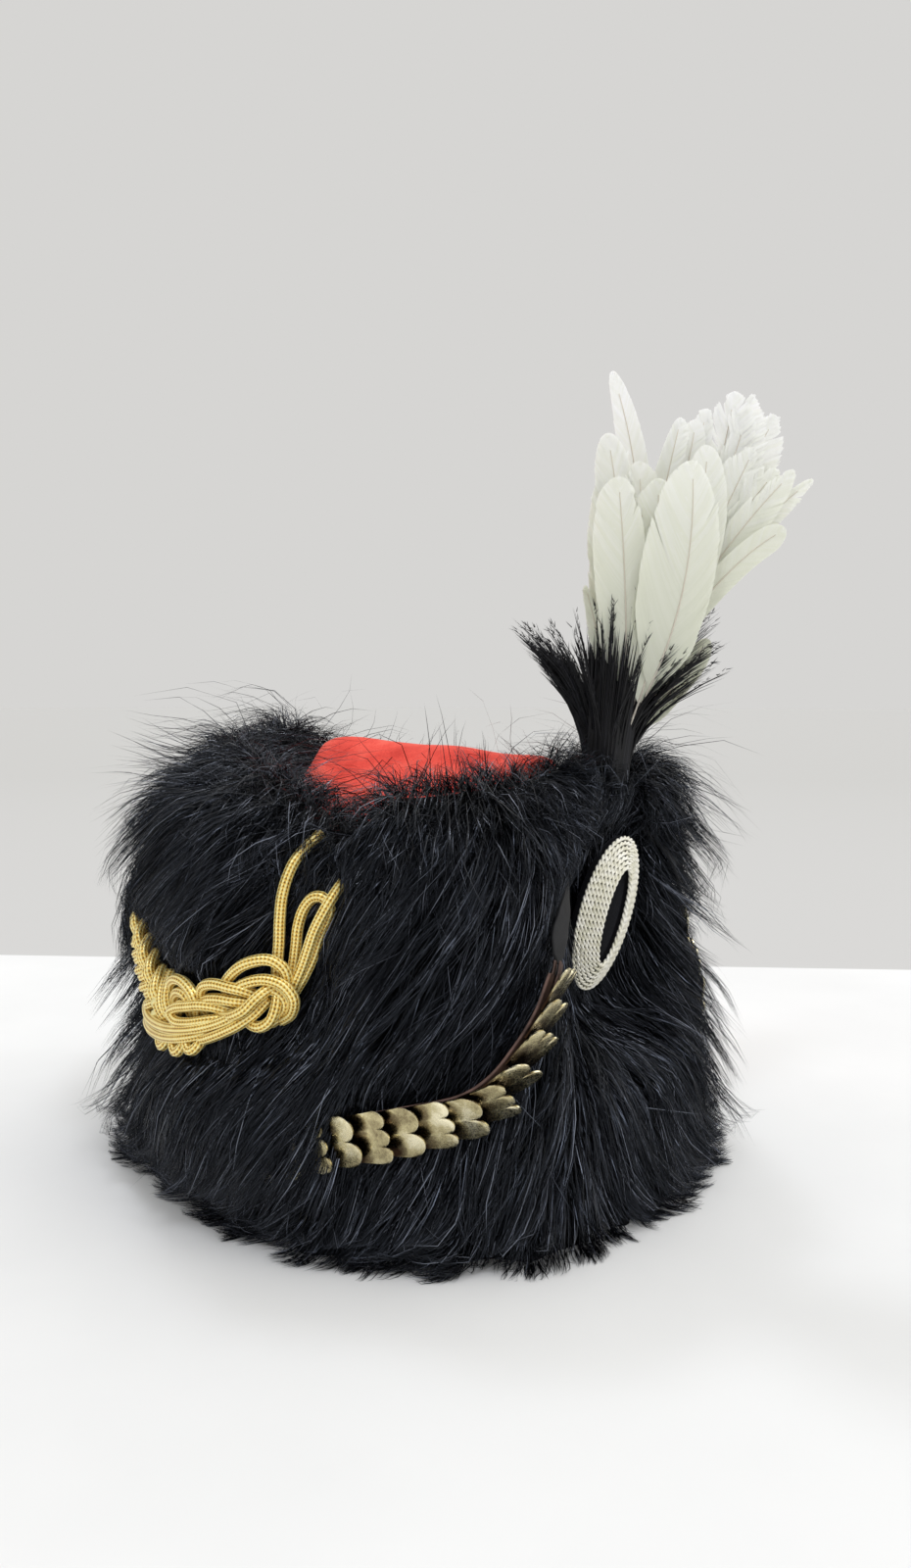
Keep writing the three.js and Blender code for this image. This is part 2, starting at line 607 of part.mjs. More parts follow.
// Frame at one part of a route: along it, out of the fur (turned by the
// table's twist) and across it.
function frameAt(curve, rows, part) {
  const point = curve.getPointAt(part);
  const way = curve.getTangentAt(part);
  const turn = THREE.MathUtils.radToDeg(Math.atan2(point.x / FUR_SIDE, -point.y / FUR_FRONT));
  const out = awayFromHat(turn);
  out.addScaledVector(way, -out.dot(way)).normalize();
  const step = part * (rows.length - 1);
  const low = Math.min(Math.floor(step), rows.length - 2);
  const twist = THREE.MathUtils.lerp(rows[low].twist ?? 0, rows[low + 1].twist ?? 0, step - low);
  out.applyAxisAngle(way, rad(twist));
  return { point, way, out, across: way.clone().cross(out) };
}

// Flat band along a route on the fur.
function band(rows, width, thick) {
  const spacing = 7;
  const curve = routeOnFur(rows);
  const steps = Math.ceil(curve.getLength() / spacing);
  const rings = [];
  for (let step = 0; step <= steps; step++) {
    const { point, out, across } = frameAt(curve, rows, step / steps);
    rings.push([[-1, -1], [1, -1], [1, 1], [-1, 1]].map(([w, t]) => point.clone()
      .addScaledVector(across, 0.5 * width * w)
      .addScaledVector(out, 0.5 * thick * t)));
  }
  return loft(rings);
}

// Lobed end of a scale: how far each place across it, from -1 to 1, reaches.
function lobedReach(across, lobes) {
  const lobe = Math.abs(Math.sin(0.5 * lobes * Math.PI * (across + 1)));
  return SCALE_LENGTH - SCALE_ROUNDING * across * across - SCALE_NOTCH * (1 - lobe ** 0.5);
}

// One brass scale, lifted so that its lobed end lies over the next scale. Scales with two and with
// three lobes take turns.
function scalePlate(curve, rows, index) {
  const lobes = index % 2 === 0 ? 2 : 3;
  const columns = lobes * LOBE_STEPS[lobes];
  const part = Math.min((FIRST_SCALE + index * SCALE_PITCH) / curve.getLength(), 1);
  const { point, way, out, across } = frameAt(curve, rows, part);
  const tilted = way.clone().applyAxisAngle(across, rad(SCALE_TILT));
  const lifted = out.clone().applyAxisAngle(across, rad(SCALE_TILT));
  const grid = [];
  for (const reach of [0, 0.55, 1]) {
    const row = [];
    for (let i = 0; i <= columns; i++) {
      const side = 1 - (2 * i) / columns;
      const halfWide = 0.5 * SCALE_WIDTH * THREE.MathUtils.lerp(SCALE_ROOT, 1, reach);
      const dome = SCALE_DOME * (1 - side * side) * THREE.MathUtils.lerp(0.4, 1, reach);
      row.push(point.clone()
        .addScaledVector(out, LEATHER_THICK / 2 + SCALE_THICK + SCALE_CLEAR)
        .addScaledVector(across, halfWide * side)
        .addScaledVector(tilted, reach * lobedReach(side, lobes))
        .addScaledVector(lifted, dome));
    }
    grid.push(row);
  }
  return sheet(grid, -SCALE_THICK);
}

// Round or oval tube along a route on the fur; "swell" varies its width.
function tube(rows, width, thick, sides, swell = () => 1) {
  const spacing = 5;
  const curve = routeOnFur(rows);
  const length = curve.getLength();
  const steps = Math.ceil(length / spacing);
  const rings = [];
  for (let step = 0; step <= steps; step++) {
    const { point, out, across } = frameAt(curve, rows, step / steps);
    const size = swell((length * step) / steps);
    const ring = [];
    for (let i = 0; i < sides; i++) {
      const turn = (i * 2 * Math.PI) / sides;
      ring.push(point.clone()
        .addScaledVector(across, 0.5 * width * size * Math.cos(turn))
        .addScaledVector(out, 0.5 * thick * Math.sin(turn)));
    }
    rings.push(ring);
  }
  return loft(rings);
}

function cord(rows) {
  return tube(rows, 2 * CORD_RADIUS, 2 * CORD_RADIUS, 8);
}

function plait() {
  const rows = PLAIT_ROUTE.map((row) => ({ ...row, off: 2 + PLAIT_THICK / 2 }));
  const swell = (at) => 1 + 0.07 * Math.sin((at / PLAIT_PITCH) * 2 * Math.PI);
  return tube(rows, PLAIT_WIDTH, PLAIT_THICK, ROUND_SIDES, swell);
}

// Round knot pressed against the fur, in rings of latitude.
function knot({ turn, z, wide, tall, thick }) {
  const sides = 16;
  const centre = onFur(turn, z, thick + KNOT_CLEAR);
  const out = awayFromHat(turn);
  const level = new THREE.Vector3(-out.y, out.x, 0);
  const rings = [];
  for (let latitude = -72; latitude <= 72; latitude += 24) {
    const girth = Math.cos(rad(latitude));
    const ring = [];
    for (let i = 0; i < sides; i++) {
      const around = (i * 2 * Math.PI) / sides;
      ring.push(centre.clone()
        .addScaledVector(level, wide * girth * Math.cos(around))
        .addScaledVector(out, thick * girth * Math.sin(around))
        .add(new THREE.Vector3(0, 0, tall * Math.sin(rad(latitude)))));
    }
    rings.push(ring);
  }
  return loft(rings);
}

// ---------------------------------------------------------------- assembly

const hat = new THREE.Group();

function add(name, geometry, material, parent = hat) {
  const mesh = new THREE.Mesh(geometry, material);
  mesh.name = name;
  parent.add(mesh);
}

add('cap_body', capBody(), CAP_LEATHER);
add('fur', furRing(), BLACK_FUR);
add('bag', bag(), RED_CLOTH);
add('plume_stem', stemRod(2.6, 177, 214), STEEL);
add('plume_white', whitePlume(), WHITE_FEATHER);
add('plume_base', blackPlume(), BLACK_FEATHER);

const cockade = new THREE.Group();
cockade.position.set(COCKADE_PLACE.x, COCKADE_PLACE.y, COCKADE_PLACE.z);
cockade.rotation.set(
  rad(90 + COCKADE_PLACE.pitch), rad(-COCKADE_PLACE.yaw), rad(-COCKADE_PLACE.roll), 'XYZ');
hat.add(cockade);
add('cockade_centre', cockadeCentre(), VELVET, cockade);
add('cockade_cord', cockadeCord(), SILVER_CORD, cockade);

for (const { side, rows } of [{ side: 'right', rows: CHIN_RIGHT }, { side: 'left', rows: CHIN_LEFT }]) {
  add(`chin_leather_${side}`, band(rows, LEATHER_WIDTH, LEATHER_THICK), BROWN_LEATHER);
  const curve = routeOnFur(rows);
  for (let index = 0; index < SCALE_COUNT; index++) {
    const number = String(index + 1).padStart(2, '0');
    add(`chin_scale_${side}_${number}`, scalePlate(curve, rows, index), BRASS);
  }
}
add('front_strap', band(FRONT_STRAP, STRAP_WIDTH, STRAP_THICK), STRAP_LEATHER);

add('festoon_plait', plait(), GOLD_CORD);
for (const row of KNOTS) add(row.name, knot(row), GOLD_CORD);
add('cord_riser_right', cord(RISER_ROUTE), GOLD_CORD);
add('cord_bight_right', cord(BIGHT_ROUTE), GOLD_CORD);
add('cord_tail_right', cord(TAIL_ROUTE), GOLD_CORD);
add('cord_riser_back', cord(BACK_RISER_ROUTE), GOLD_CORD);

// The origin is the middle of the hat's own box on the surface it stands on.
const box = new THREE.Box3().setFromObject(hat);
const middle = box.getCenter(new THREE.Vector3());
hat.position.set(-middle.x, -middle.y, -box.min.z);

export default hat;
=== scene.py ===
# %% [markdown]
# # A hussar's fur busby
#
# The hat is a stiff cap inside a deep ring of black fur. A red cloth bag covers the crown and falls
# over the wearer's left. White goose feathers stand in a tuft of black ones over an oval cockade of
# silver cord. Brass chin scales run up to the cockade and a plaited gold cord hangs on the right.
#
# Everything here is a surface worked out with numpy: a shape is a formula on a grid, or a section
# carried along a path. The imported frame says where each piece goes.

# %% Load the frame
import math
import bpy
import numpy as np
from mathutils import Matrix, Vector


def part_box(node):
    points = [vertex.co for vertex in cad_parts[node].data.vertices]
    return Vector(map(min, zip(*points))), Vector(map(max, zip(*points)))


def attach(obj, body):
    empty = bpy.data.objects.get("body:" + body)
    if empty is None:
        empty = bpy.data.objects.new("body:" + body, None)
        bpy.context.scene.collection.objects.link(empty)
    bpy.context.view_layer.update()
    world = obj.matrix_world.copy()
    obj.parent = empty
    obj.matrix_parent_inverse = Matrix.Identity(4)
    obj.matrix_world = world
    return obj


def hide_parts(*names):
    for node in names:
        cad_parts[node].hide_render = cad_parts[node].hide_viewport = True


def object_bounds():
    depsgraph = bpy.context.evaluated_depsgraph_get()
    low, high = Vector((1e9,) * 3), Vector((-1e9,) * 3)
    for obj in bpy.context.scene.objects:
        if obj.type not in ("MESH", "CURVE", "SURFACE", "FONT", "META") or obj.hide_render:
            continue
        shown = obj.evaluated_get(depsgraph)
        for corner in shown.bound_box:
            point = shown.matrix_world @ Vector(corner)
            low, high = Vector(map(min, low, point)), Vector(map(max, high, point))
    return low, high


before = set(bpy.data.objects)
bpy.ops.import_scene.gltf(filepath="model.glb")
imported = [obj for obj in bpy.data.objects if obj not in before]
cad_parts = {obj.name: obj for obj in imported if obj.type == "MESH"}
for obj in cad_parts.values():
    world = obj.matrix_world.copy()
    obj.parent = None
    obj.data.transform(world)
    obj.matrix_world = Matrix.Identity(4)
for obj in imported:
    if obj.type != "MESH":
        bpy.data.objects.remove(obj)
cad_low, cad_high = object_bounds()
print("nodes in the frame:", len(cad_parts))

# %% [markdown]
# ## Units and the hat's axis
#
# Shapes are worked out in millimetres from the upright axis through the middle of the cap, with
# the floor at z = 0. The cap's own box says where that axis stands in the frame, so nothing has to
# be fitted afterwards. A "turn" is an angle round the hat in degrees: 0 is the front (-Y), 90 the
# wearer's left (+X), -90 the right and 180 the back.

# %% Units and axis
MM = 0.001
UP = np.array([0.0, 0.0, 1.0])
cap_low, cap_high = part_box("cap_body")
AXIS = np.array([(cap_low.x + cap_high.x) / 2, (cap_low.y + cap_high.y) / 2, 0.0])
CROWN = cap_high.z / MM
print("axis at", AXIS.round(4), "crown at", round(CROWN), "mm")

# %% [markdown]
# ## Small tools for shapes
#
# A few helpers do most of the work. `table` reads a smooth value from a short list of places.
# `unit` makes directions one long, and `joined` makes points out of coordinates. `smooth_path` draws
# a soft curve through a few chosen points and steps along it evenly, as a cord or a strap would lie.

# %% Curves and directions
def unit(vectors):
    """Each vector divided by its own length."""
    return vectors / np.maximum(np.linalg.norm(vectors, axis=-1, keepdims=True), 1e-9)


def dot(first, second):
    """Dot product over the last axis, kept as a column."""
    return np.sum(first * second, axis=-1, keepdims=True)


def joined(*parts):
    """Coordinates given one by one, stretched to one shape and joined as points."""
    return np.stack(np.broadcast_arrays(*parts), axis=-1)


def ease(value, low, high):
    """0 below low, 1 above high, and 3p^2 - 2p^3 of the part p of the way between."""
    part = np.clip((value - low) / (high - low), 0.0, 1.0)
    return part * part * (3 - 2 * part)


def table(rows, at):
    """Value at a place in rows of (place, value), eased from one row to the next."""
    places, values = np.array(rows, float).T
    at = np.clip(at, places[0], places[-1])
    high = np.clip(np.searchsorted(places, at, side="right"), 1, len(places) - 1)
    low = high - 1
    return values[low] + (values[high] - values[low]) * ease(at, places[low], places[high])


def round_angles(count):
    """Angles that go once round in even steps."""
    return np.linspace(0, 2 * np.pi, count, endpoint=False)


def wrapped(turn):
    """Any turn brought into -180 to 180."""
    return (turn + 540.0) % 360.0 - 180.0


def distances(path):
    """How far along a path each of its points lies."""
    return np.concatenate([[0], np.cumsum(np.linalg.norm(np.diff(path, axis=0), axis=1))])


def path_length(path):
    """Length of a path in its own unit."""
    return float(np.linalg.norm(np.diff(path, axis=0), axis=1).sum())


def smooth_path(points, spacing):
    """A centripetal Catmull-Rom curve through the points, cut into even steps.
    Each knot is the last one plus the square root of the gap, and each span is
    three rounds of straight interpolation between its four nearest points."""
    points = np.asarray(points, float)
    points = np.vstack([2 * points[0] - points[1], points, 2 * points[-1] - points[-2]])
    knots = np.concatenate([[0], np.cumsum(np.linalg.norm(np.diff(points, axis=0), axis=1) ** 0.5)])
    spans = []
    for i in range(1, len(points) - 2):
        t = np.linspace(knots[i], knots[i + 1], 24, endpoint=False)[:, None]

        def mix(first, second, start, end):
            """Straight line from the first at its start to the second at its end, read at t."""
            return first + (second - first) * (t - start) / (end - start)

        rows = [mix(points[i + j - 1], points[i + j], knots[i + j - 1], knots[i + j]) for j in range(3)]
        pairs = [mix(rows[j], rows[j + 1], knots[i + j - 1], knots[i + j + 1]) for j in range(2)]
        spans.append(mix(pairs[0], pairs[1], knots[i], knots[i + 1]))
    curve = np.vstack([*spans, points[-2:-1]])
    along = distances(curve)
    places = np.linspace(0, along[-1], max(2, round(along[-1] / spacing) + 1))
    return np.stack([np.interp(places, along, curve[:, axis]) for axis in range(3)], axis=1)


# %% [markdown]
# ## Small tools for meshes
#
# Faces may be a mix of three- and four-cornered ones, and there is a UV pair for each point, or
# for each corner of each face where a pattern goes round and meets itself.

# %% Meshes
TRIANGLES = {}


def build(name, points, faces, uv, material, slot, replaces=(), sharp_above=None):
    """One object from points in millimetres from the hat's axis, faces and UV pairs."""
    corners = np.concatenate([rows.ravel() for rows in faces]).astype(np.int32)
    sizes = np.concatenate([np.full(len(rows), rows.shape[1]) for rows in faces])
    mesh = bpy.data.meshes.new(name)
    mesh.vertices.add(len(points))
    mesh.vertices.foreach_set("co", (points * MM + AXIS).astype(np.float32).ravel())
    mesh.loops.add(len(corners))
    mesh.loops.foreach_set("vertex_index", corners)
    mesh.polygons.add(len(sizes))
    starts = np.concatenate([[0], np.cumsum(sizes)[:-1]]).astype(np.int32)
    mesh.polygons.foreach_set("loop_start", starts)
    mesh.update(calc_edges=True)
    layer = mesh.uv_layers.new(name="UVMap")
    corner_uv = uv[corners] if len(uv) == len(points) else uv
    layer.uv.foreach_set("vector", corner_uv.astype(np.float32).ravel())
    mesh.shade_smooth()
    if sharp_above is not None:
        mesh.set_sharp_from_angle(angle=math.radians(sharp_above))
    mesh.materials.append(material)
    piece = bpy.data.objects.new(name, mesh)
    bpy.context.scene.collection.objects.link(piece)
    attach(piece, "root")
    if replaces:
        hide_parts(*replaces)
    triangles = int((sizes - 2).sum())
    print(f"{name}: {triangles} triangles")
    TRIANGLES[name] = triangles
    return piece


def grid_faces(rows, columns, wrap_rows=False, wrap_columns=False):
    """Four-cornered faces of a grid of points numbered row by row."""
    r = np.arange(rows if wrap_rows else rows - 1)[:, None]
    c = np.arange(columns if wrap_columns else columns - 1)[None, :]
    r_next = (r + 1) % rows
    c_next = (c + 1) % columns
    quads = [r * columns + c, r_next * columns + c, r_next * columns + c_next, r * columns + c_next]
    return joined(*quads).reshape(-1, 4)


def merged(bodies):
    """Points, faces and corner UVs of several bodies, joined in their order."""
    points, faces, uv, shift = [], [], [], 0
    for own_points, own_faces, own_uv in bodies:
        points.append(own_points)
        faces += [rows + shift for rows in own_faces]
        uv.append(own_uv)
        shift += len(own_points)
    return np.concatenate(points), faces, np.concatenate(uv)


def grid_uv(rows, columns):
    """UV pair for each point of a grid: 0 to 1 across the columns and along the rows."""
    return joined(np.linspace(0, 1, columns), np.linspace(0, 1, rows)[:, None]).reshape(-1, 2)


# %% [markdown]
# ## Small tools for materials
#
# A colour is written as the hex code that a colour picker shows, and `colour` turns it into the
# linear light that the renderer adds up. `add` makes one node with its settings and its links. The
# short functions after it name what most materials do: blend colours, carry a value from one range
# to another, calculate, add noise, and let the surface stand up in bumps.

# %% Materials
def colour(code):
    """Linear RGBA of an sRGB hex code."""
    channels = np.array([int(code[i:i + 2], 16) / 255 for i in (0, 2, 4)])
    linear = np.where(channels <= 0.04045, channels / 12.92, ((channels + 0.055) / 1.055) ** 2.4)
    return (*linear.tolist(), 1.0)


def add(tree, kind, inputs=None, **settings):
    """A node of a kind with its settings. Each input is set to a value, or linked to a socket or
    to the first output of another node."""
    made = tree.nodes.new("ShaderNode" + kind)
    for setting, value in settings.items():
        setattr(made, setting, value)
    for socket, value in (inputs or {}).items():
        if isinstance(value, bpy.types.Node):
            value = value.outputs[0]
        if isinstance(value, bpy.types.NodeSocket):
            tree.links.new(value, made.inputs[socket])
        else:
            made.inputs[socket].default_value = value
    return made


def principled(tree):
    """The shader that every material starts from."""
    return tree.nodes["Principled BSDF"]


def new_material(name, **shader):
    """A material and its node tree, with its Principled shader's own sockets set."""
    made = bpy.data.materials.new(name)
    made.use_nodes = True
    for socket, value in shader.items():
        principled(made.node_tree).inputs[socket.replace("_", " ")].default_value = value
    return made, made.node_tree


def ramp(tree, factor, stops):
    """Colours blended over a factor, from (place, hex code) stops."""
    made = add(tree, "ValToRGB", {"Fac": factor})
    elements = made.color_ramp.elements
    for element, (place, code) in zip(elements, (stops[0], stops[-1])):
        element.position = place
        element.color = colour(code)
    for place, code in stops[1:-1]:
        elements.new(place).color = colour(code)
    return made.outputs["Color"]


def paint(tree, tint):
    """Gives the shader its base colour."""
    tree.links.new(tint, principled(tree).inputs["Base Color"])


def blend(tree, factor, first, second):
    """Colour that goes from the first to the second one as the factor goes from 0 to 1."""
    made = add(tree, "Mix", {"Factor": factor, "A": first, "B": second}, data_type="RGBA")
    return made.outputs["Result"]


def remap(tree, value, low, high, to_low=0.0, to_high=1.0):
    """Value carried in a straight line from one range to another, and held at the range's ends."""
    made = add(tree, "MapRange", {"Value": value, "From Min": low, "From Max": high,
                                  "To Min": to_low, "To Max": to_high})
    return made.outputs["Result"]


def calculate(tree, operation, *values):
    """Result of one step of arithmetic on numbers or sockets."""
    return add(tree, "Math", dict(enumerate(values)), operation=operation).outputs["Value"]


def object_place(tree):
    """Place on the object itself, in metres."""
    return add(tree, "TexCoord").outputs["Object"]


def own_uv(tree):
    """The piece's own UV pair, as the outputs "X" and "Y"."""
    return add(tree, "SeparateXYZ", {"Vector": add(tree, "UVMap").outputs["UV"]}).outputs


def noise(tree, place_on, scale, detail, **more):
    """Soft noise between 0 and 1. The scale is in blobs to the metre, the detail in finer layers."""
    made = add(tree, "TexNoise", {"Vector": place_on, "Scale": scale, "Detail": detail, **more})
    return made.outputs["Fac"]


def bumps(tree, height, strength, distance):
    """Lets a surface stand up by a height from 0 to 1, which is as far as the distance in metres."""
    made = add(tree, "Bump", {"Height": height, "Strength": strength, "Distance": distance})
    tree.links.new(made.outputs["Normal"], principled(tree).inputs["Normal"])


# %% [markdown]
# ## Floor, light and camera
#
# The stage is a plain pale floor under a pale grey surround, which gives most of the light. A broad
# soft light from high on the right adds form and a faint shadow. Black hair shows only what it
# mirrors, so three narrow, weak lights stand high round the hat: each strand that happens to face
# one of them gives a thin bright streak, and its neighbours stay black.

# %% Stage
def place(distance, turn, height):
    """Point in the frame, in metres, that far from the axis at a turn round the hat."""
    angle = math.radians(turn)
    return Vector(AXIS + MM * np.array([distance * math.sin(angle), -distance * math.cos(angle), height]))


def far_light(name, turn, elevation, spread, strength, tint):
    """Light from far away: parallel beams that come from a disc "spread" degrees across."""
    light = bpy.data.lights.new(name, "SUN")
    light.angle = math.radians(spread)
    light.energy = strength
    light.color = colour(tint)[:3]
    lamp = bpy.data.objects.new(name, light)
    lamp.rotation_euler = (math.radians(90 - elevation), 0, math.radians(turn))
    bpy.context.scene.collection.objects.link(lamp)


CAMERA_TURN = -52
CAMERA_DISTANCE = 620
CAMERA_HEIGHT = 234
CAMERA_DOWN = 4  # degrees that it looks down
CAMERA_RIGHT = 1.67  # degrees that it looks to the right of the axis

camera = bpy.data.objects.new("camera", bpy.data.cameras.new("camera"))
camera.data.lens = 27
camera.data.sensor_width = 36
camera.data.clip_start = 0.01
camera.location = place(CAMERA_DISTANCE, CAMERA_TURN, CAMERA_HEIGHT)
camera.rotation_euler = [math.radians(a) for a in (90 - CAMERA_DOWN, 0, CAMERA_TURN - CAMERA_RIGHT)]
bpy.context.scene.collection.objects.link(camera)
bpy.context.scene.camera = camera

far_light("broad_key", 50, 58, 70, 1.0, "fffdf8")
far_light("narrow_front", -20, 55, 9, 0.62, "f2f6ff")
far_light("narrow_right", -76, 52, 9, 0.46, "f2f6ff")
far_light("narrow_back", 150, 62, 9, 0.45, "f2f6ff")

surround = bpy.data.worlds.new("surround")
surround.use_nodes = True
surround.node_tree.nodes["Background"].inputs["Color"].default_value = colour("d6d5d3")
surround.node_tree.nodes["Background"].inputs["Strength"].default_value = 1.0
bpy.context.scene.world = surround
bpy.context.scene.view_settings.view_transform = "Standard"

# %% [markdown]
# The floor is one white sheet. Past a straight line behind the hat it takes the surround's grey, so
# that the line looks like the foot of a wall, yet nothing stands there to hide the hat from behind.

# %% Floor
FLOOR_HALF = 40.0  # half the floor's side, in metres
WALL_FOOT = 0.425  # how far behind the axis the line runs, in metres
WALL_WAY = (0.847, 0.531, 0.0)  # level direction from the axis to the line, square to it


def floor_material():
    """Matt white paint: faint broad unevenness and a fine grain, and grey past the line."""
    made, tree = new_material("matt_white_paint", Roughness=0.8)
    place_on = object_place(tree)
    near = ramp(tree, noise(tree, place_on, 5.0, 4.0), [(0.3, "dfdfde"), (0.7, "e6e6e5")])
    behind = add(tree, "VectorMath", {0: place_on, 1: WALL_WAY}, operation="DOT_PRODUCT").outputs["Value"]
    line = WALL_FOOT + float(AXIS @ np.array(WALL_WAY))
    past = remap(tree, behind, line - 0.001, line + 0.001)
    grey = blend(tree, remap(tree, behind, line, line + 2.5), colour("c0bfbd"), colour("bab9b6"))
    paint(tree, blend(tree, past, near, grey))
    bumps(tree, noise(tree, place_on, 180.0, 2.0), 0.06, 0.001)
    return made


floor_mesh = bpy.data.meshes.new("floor")
floor_corners = [(x * FLOOR_HALF, y * FLOOR_HALF, 0) for x, y in ((-1, -1), (1, -1), (1, 1), (-1, 1))]
floor_mesh.from_pydata(floor_corners, [], [(0, 1, 2, 3)])
floor_mesh.materials.append(floor_material())
floor = bpy.data.objects.new("floor", floor_mesh)
bpy.context.scene.collection.objects.link(floor)

# %% [markdown]
# ## The fur's face
#
# The fur is a ring that flares towards the floor and rounds over at the top, with a rim that rises
# at the back and dips where the bag leaves it. Short tables, the same as the solid's own, give the
# rim's height, the flare as (part of that height, millimetres), how far the round top drops as (part
# of the way in, millimetres), and the dents. A dent is deepest at its turn and dies out about half
# a width away; it begins over the heights of its rise and ends over those of its fade. Three lie
# behind the cockade, and the others are the seam, the round shoulder, the waist and two at the foot.

# %% The fur's face as a function of turn and height
FUR_SIDE = 130
FUR_FRONT = 140
RECESS_SIDE = 66
RECESS_FRONT = 78
RIM = [
    (-180, 226), (-165, 223), (-145, 216), (-118, 211), (-100, 206), (-86, 197), (-73, 184), (-60, 199),
    (-35, 203), (-12, 197), (6, 197), (22, 207), (40, 209), (52, 200), (64, 187), (90, 185), (116, 187),
    (134, 193), (150, 202), (160, 212), (170, 223), (180, 226),
]
FLARE = [(0, 17), (0.07, 14), (0.18, 10), (0.34, 5), (0.52, 2), (0.7, 0), (0.84, -2), (0.93, -6)]
CREST_DROP = [(0.14, 4.5), (0.32, 0), (0.55, 1), (0.8, 9), (0.97, 22)]
DENTS = [
    {"turn": -3, "half": 22, "depth": 20, "rise": (50, 96), "fade": (230, 240)},
    {"turn": -4, "half": 19, "depth": 13, "rise": (56, 98), "fade": (168, 184)},
    {"turn": -5, "half": 17, "depth": 8, "rise": (60, 98), "fade": (104, 146)},
    {"turn": -73, "half": 10, "depth": 8, "rise": (60, 130), "fade": (230, 240)},
    {"turn": -142, "half": 52, "depth": 24, "rise": (168, 220), "fade": (230, 240)},
    {"turn": 40, "half": 24, "depth": 7, "rise": (84, 120), "fade": (165, 195)},
    {"turn": 4, "half": 26, "depth": 12, "rise": (-20, -10), "fade": (20, 80)},
    {"turn": -104, "half": 22, "depth": 16, "rise": (-20, -10), "fade": (12, 60)},
]


def oval(turn, side, front, z):
    """Point at a turn round an oval of two half widths, at a height."""
    angle = np.radians(turn)
    return joined(side * np.sin(angle), -front * np.cos(angle), z)


def away(turn):
    """Level direction straight out of the fur at a turn."""
    return unit(oval(turn, 1 / FUR_SIDE, 1 / FUR_FRONT, 0.0))


def crest(turn):
    """Height of the fur's rim at a turn."""
    return table(RIM, wrapped(turn))


def fur_out(turn, z):
    """How far the fur stands out from its middle oval: the flare, plus two waves of gentle locks,
    plus small tufts at the foot, less the dents."""
    part = z / crest(turn)
    waves = 1.1 * (np.sin(np.radians(turn * 7 + 40)) + 0.7 * np.sin(np.radians(turn * 12 + 200)))
    foot = 1 - ease(part, 0, 0.12)
    tufts = 2.2 * foot * (np.sin(np.radians(turn * 19)) + np.sin(np.radians(turn * 29 + 90)))
    out = table(FLARE, part) + waves + tufts
    for row in DENTS:
        away_from = wrapped(turn - row["turn"]) / row["half"]
        dent = row["depth"] * np.exp(-away_from ** 4)
        out = out - dent * ease(z, *row["rise"]) * (1 - ease(z, *row["fade"]))
    return out


def on_fur(turn, z, off=0.0):
    """Point on the fur's face at a turn and height, or "off" millimetres outside it."""
    out = fur_out(turn, z) + off
    return oval(turn, FUR_SIDE + out, FUR_FRONT + out, z)


# %% [markdown]
# ## A map of the fur
#
# Hair has to be led over the whole face: up the side, over the round top and down inside the rim.
# So the face is worked out once as a grid of sections, each running from the floor in front of the
# skirt, up the outside and over into the recess. A hair then walks over the grid by its row and
# column, and reads the position, the outward direction and the size of a step from it.

# %% The map
SKIRT_COLUMNS, SIDE_COLUMNS, CREST_COLUMNS, RECESS_COLUMNS = 10, 60, 32, 8
MAP_TURNS = 360
SKIRT_REACH = 13  # how far hair may lie out on the floor
SIDE_FOOT, SIDE_TOP, ABOVE_SIDE = 0.03, 0.93, 0.07  # parts of the rim's height
MAP_TURN = np.linspace(-180, 180, MAP_TURNS, endpoint=False)


def fur_map():
    """Sections of the fur at every degree, smoothed along their length, with outward directions."""
    turn = MAP_TURN[:, None]
    top = crest(turn)
    reach = np.linspace(SKIRT_REACH, 3, SKIRT_COLUMNS)[None, :]
    skirt = on_fur(turn, 0.0 * reach) + away(turn) * reach[..., None]
    skirt[..., 2] = 0.8 + 1.6 * (1 - reach / SKIRT_REACH) ** 2
    side = on_fur(turn, np.linspace(SIDE_FOOT, SIDE_TOP, SIDE_COLUMNS)[None, :] * top)
    inwards = np.linspace(0.03, 0.97, CREST_COLUMNS)[None, :]
    inner = oval(turn, RECESS_SIDE, RECESS_FRONT, side[:, -1:, 2])
    over = side[:, -1:] + (inner - side[:, -1:]) * inwards[..., None]
    places = np.concatenate([[0.0], [row[0] for row in CREST_DROP]])
    later = np.broadcast_to([row[1] for row in CREST_DROP], (MAP_TURNS, len(CREST_DROP)))
    drops = np.concatenate([ABOVE_SIDE * top, later], axis=1)
    for row, drop in enumerate(drops):
        over[row, :, 2] = top[row] - np.interp(inwards[0], places, drop)
    down = np.linspace(0, 1, RECESS_COLUMNS + 1)[None, 1:]
    recess_top = top - CREST_DROP[-1][1]
    recess = oval(turn, RECESS_SIDE, RECESS_FRONT, recess_top * (1 - down) + (CROWN + 1) * down)
    face = np.concatenate([skirt, side, over, recess], axis=1)
    kernel = np.array([1, 2, 3, 2, 1]) / 9
    padded = np.concatenate([face[:, :1], face[:, :1], face, face[:, -1:], face[:, -1:]], axis=1)
    face = sum(weight * padded[:, i:i + face.shape[1]] for i, weight in enumerate(kernel))
    round_step = (np.roll(face, -1, axis=0) - np.roll(face, 1, axis=0)) / 2
    up_step = np.gradient(face, axis=1)
    return face, unit(np.cross(round_step, up_step)), round_step, up_step


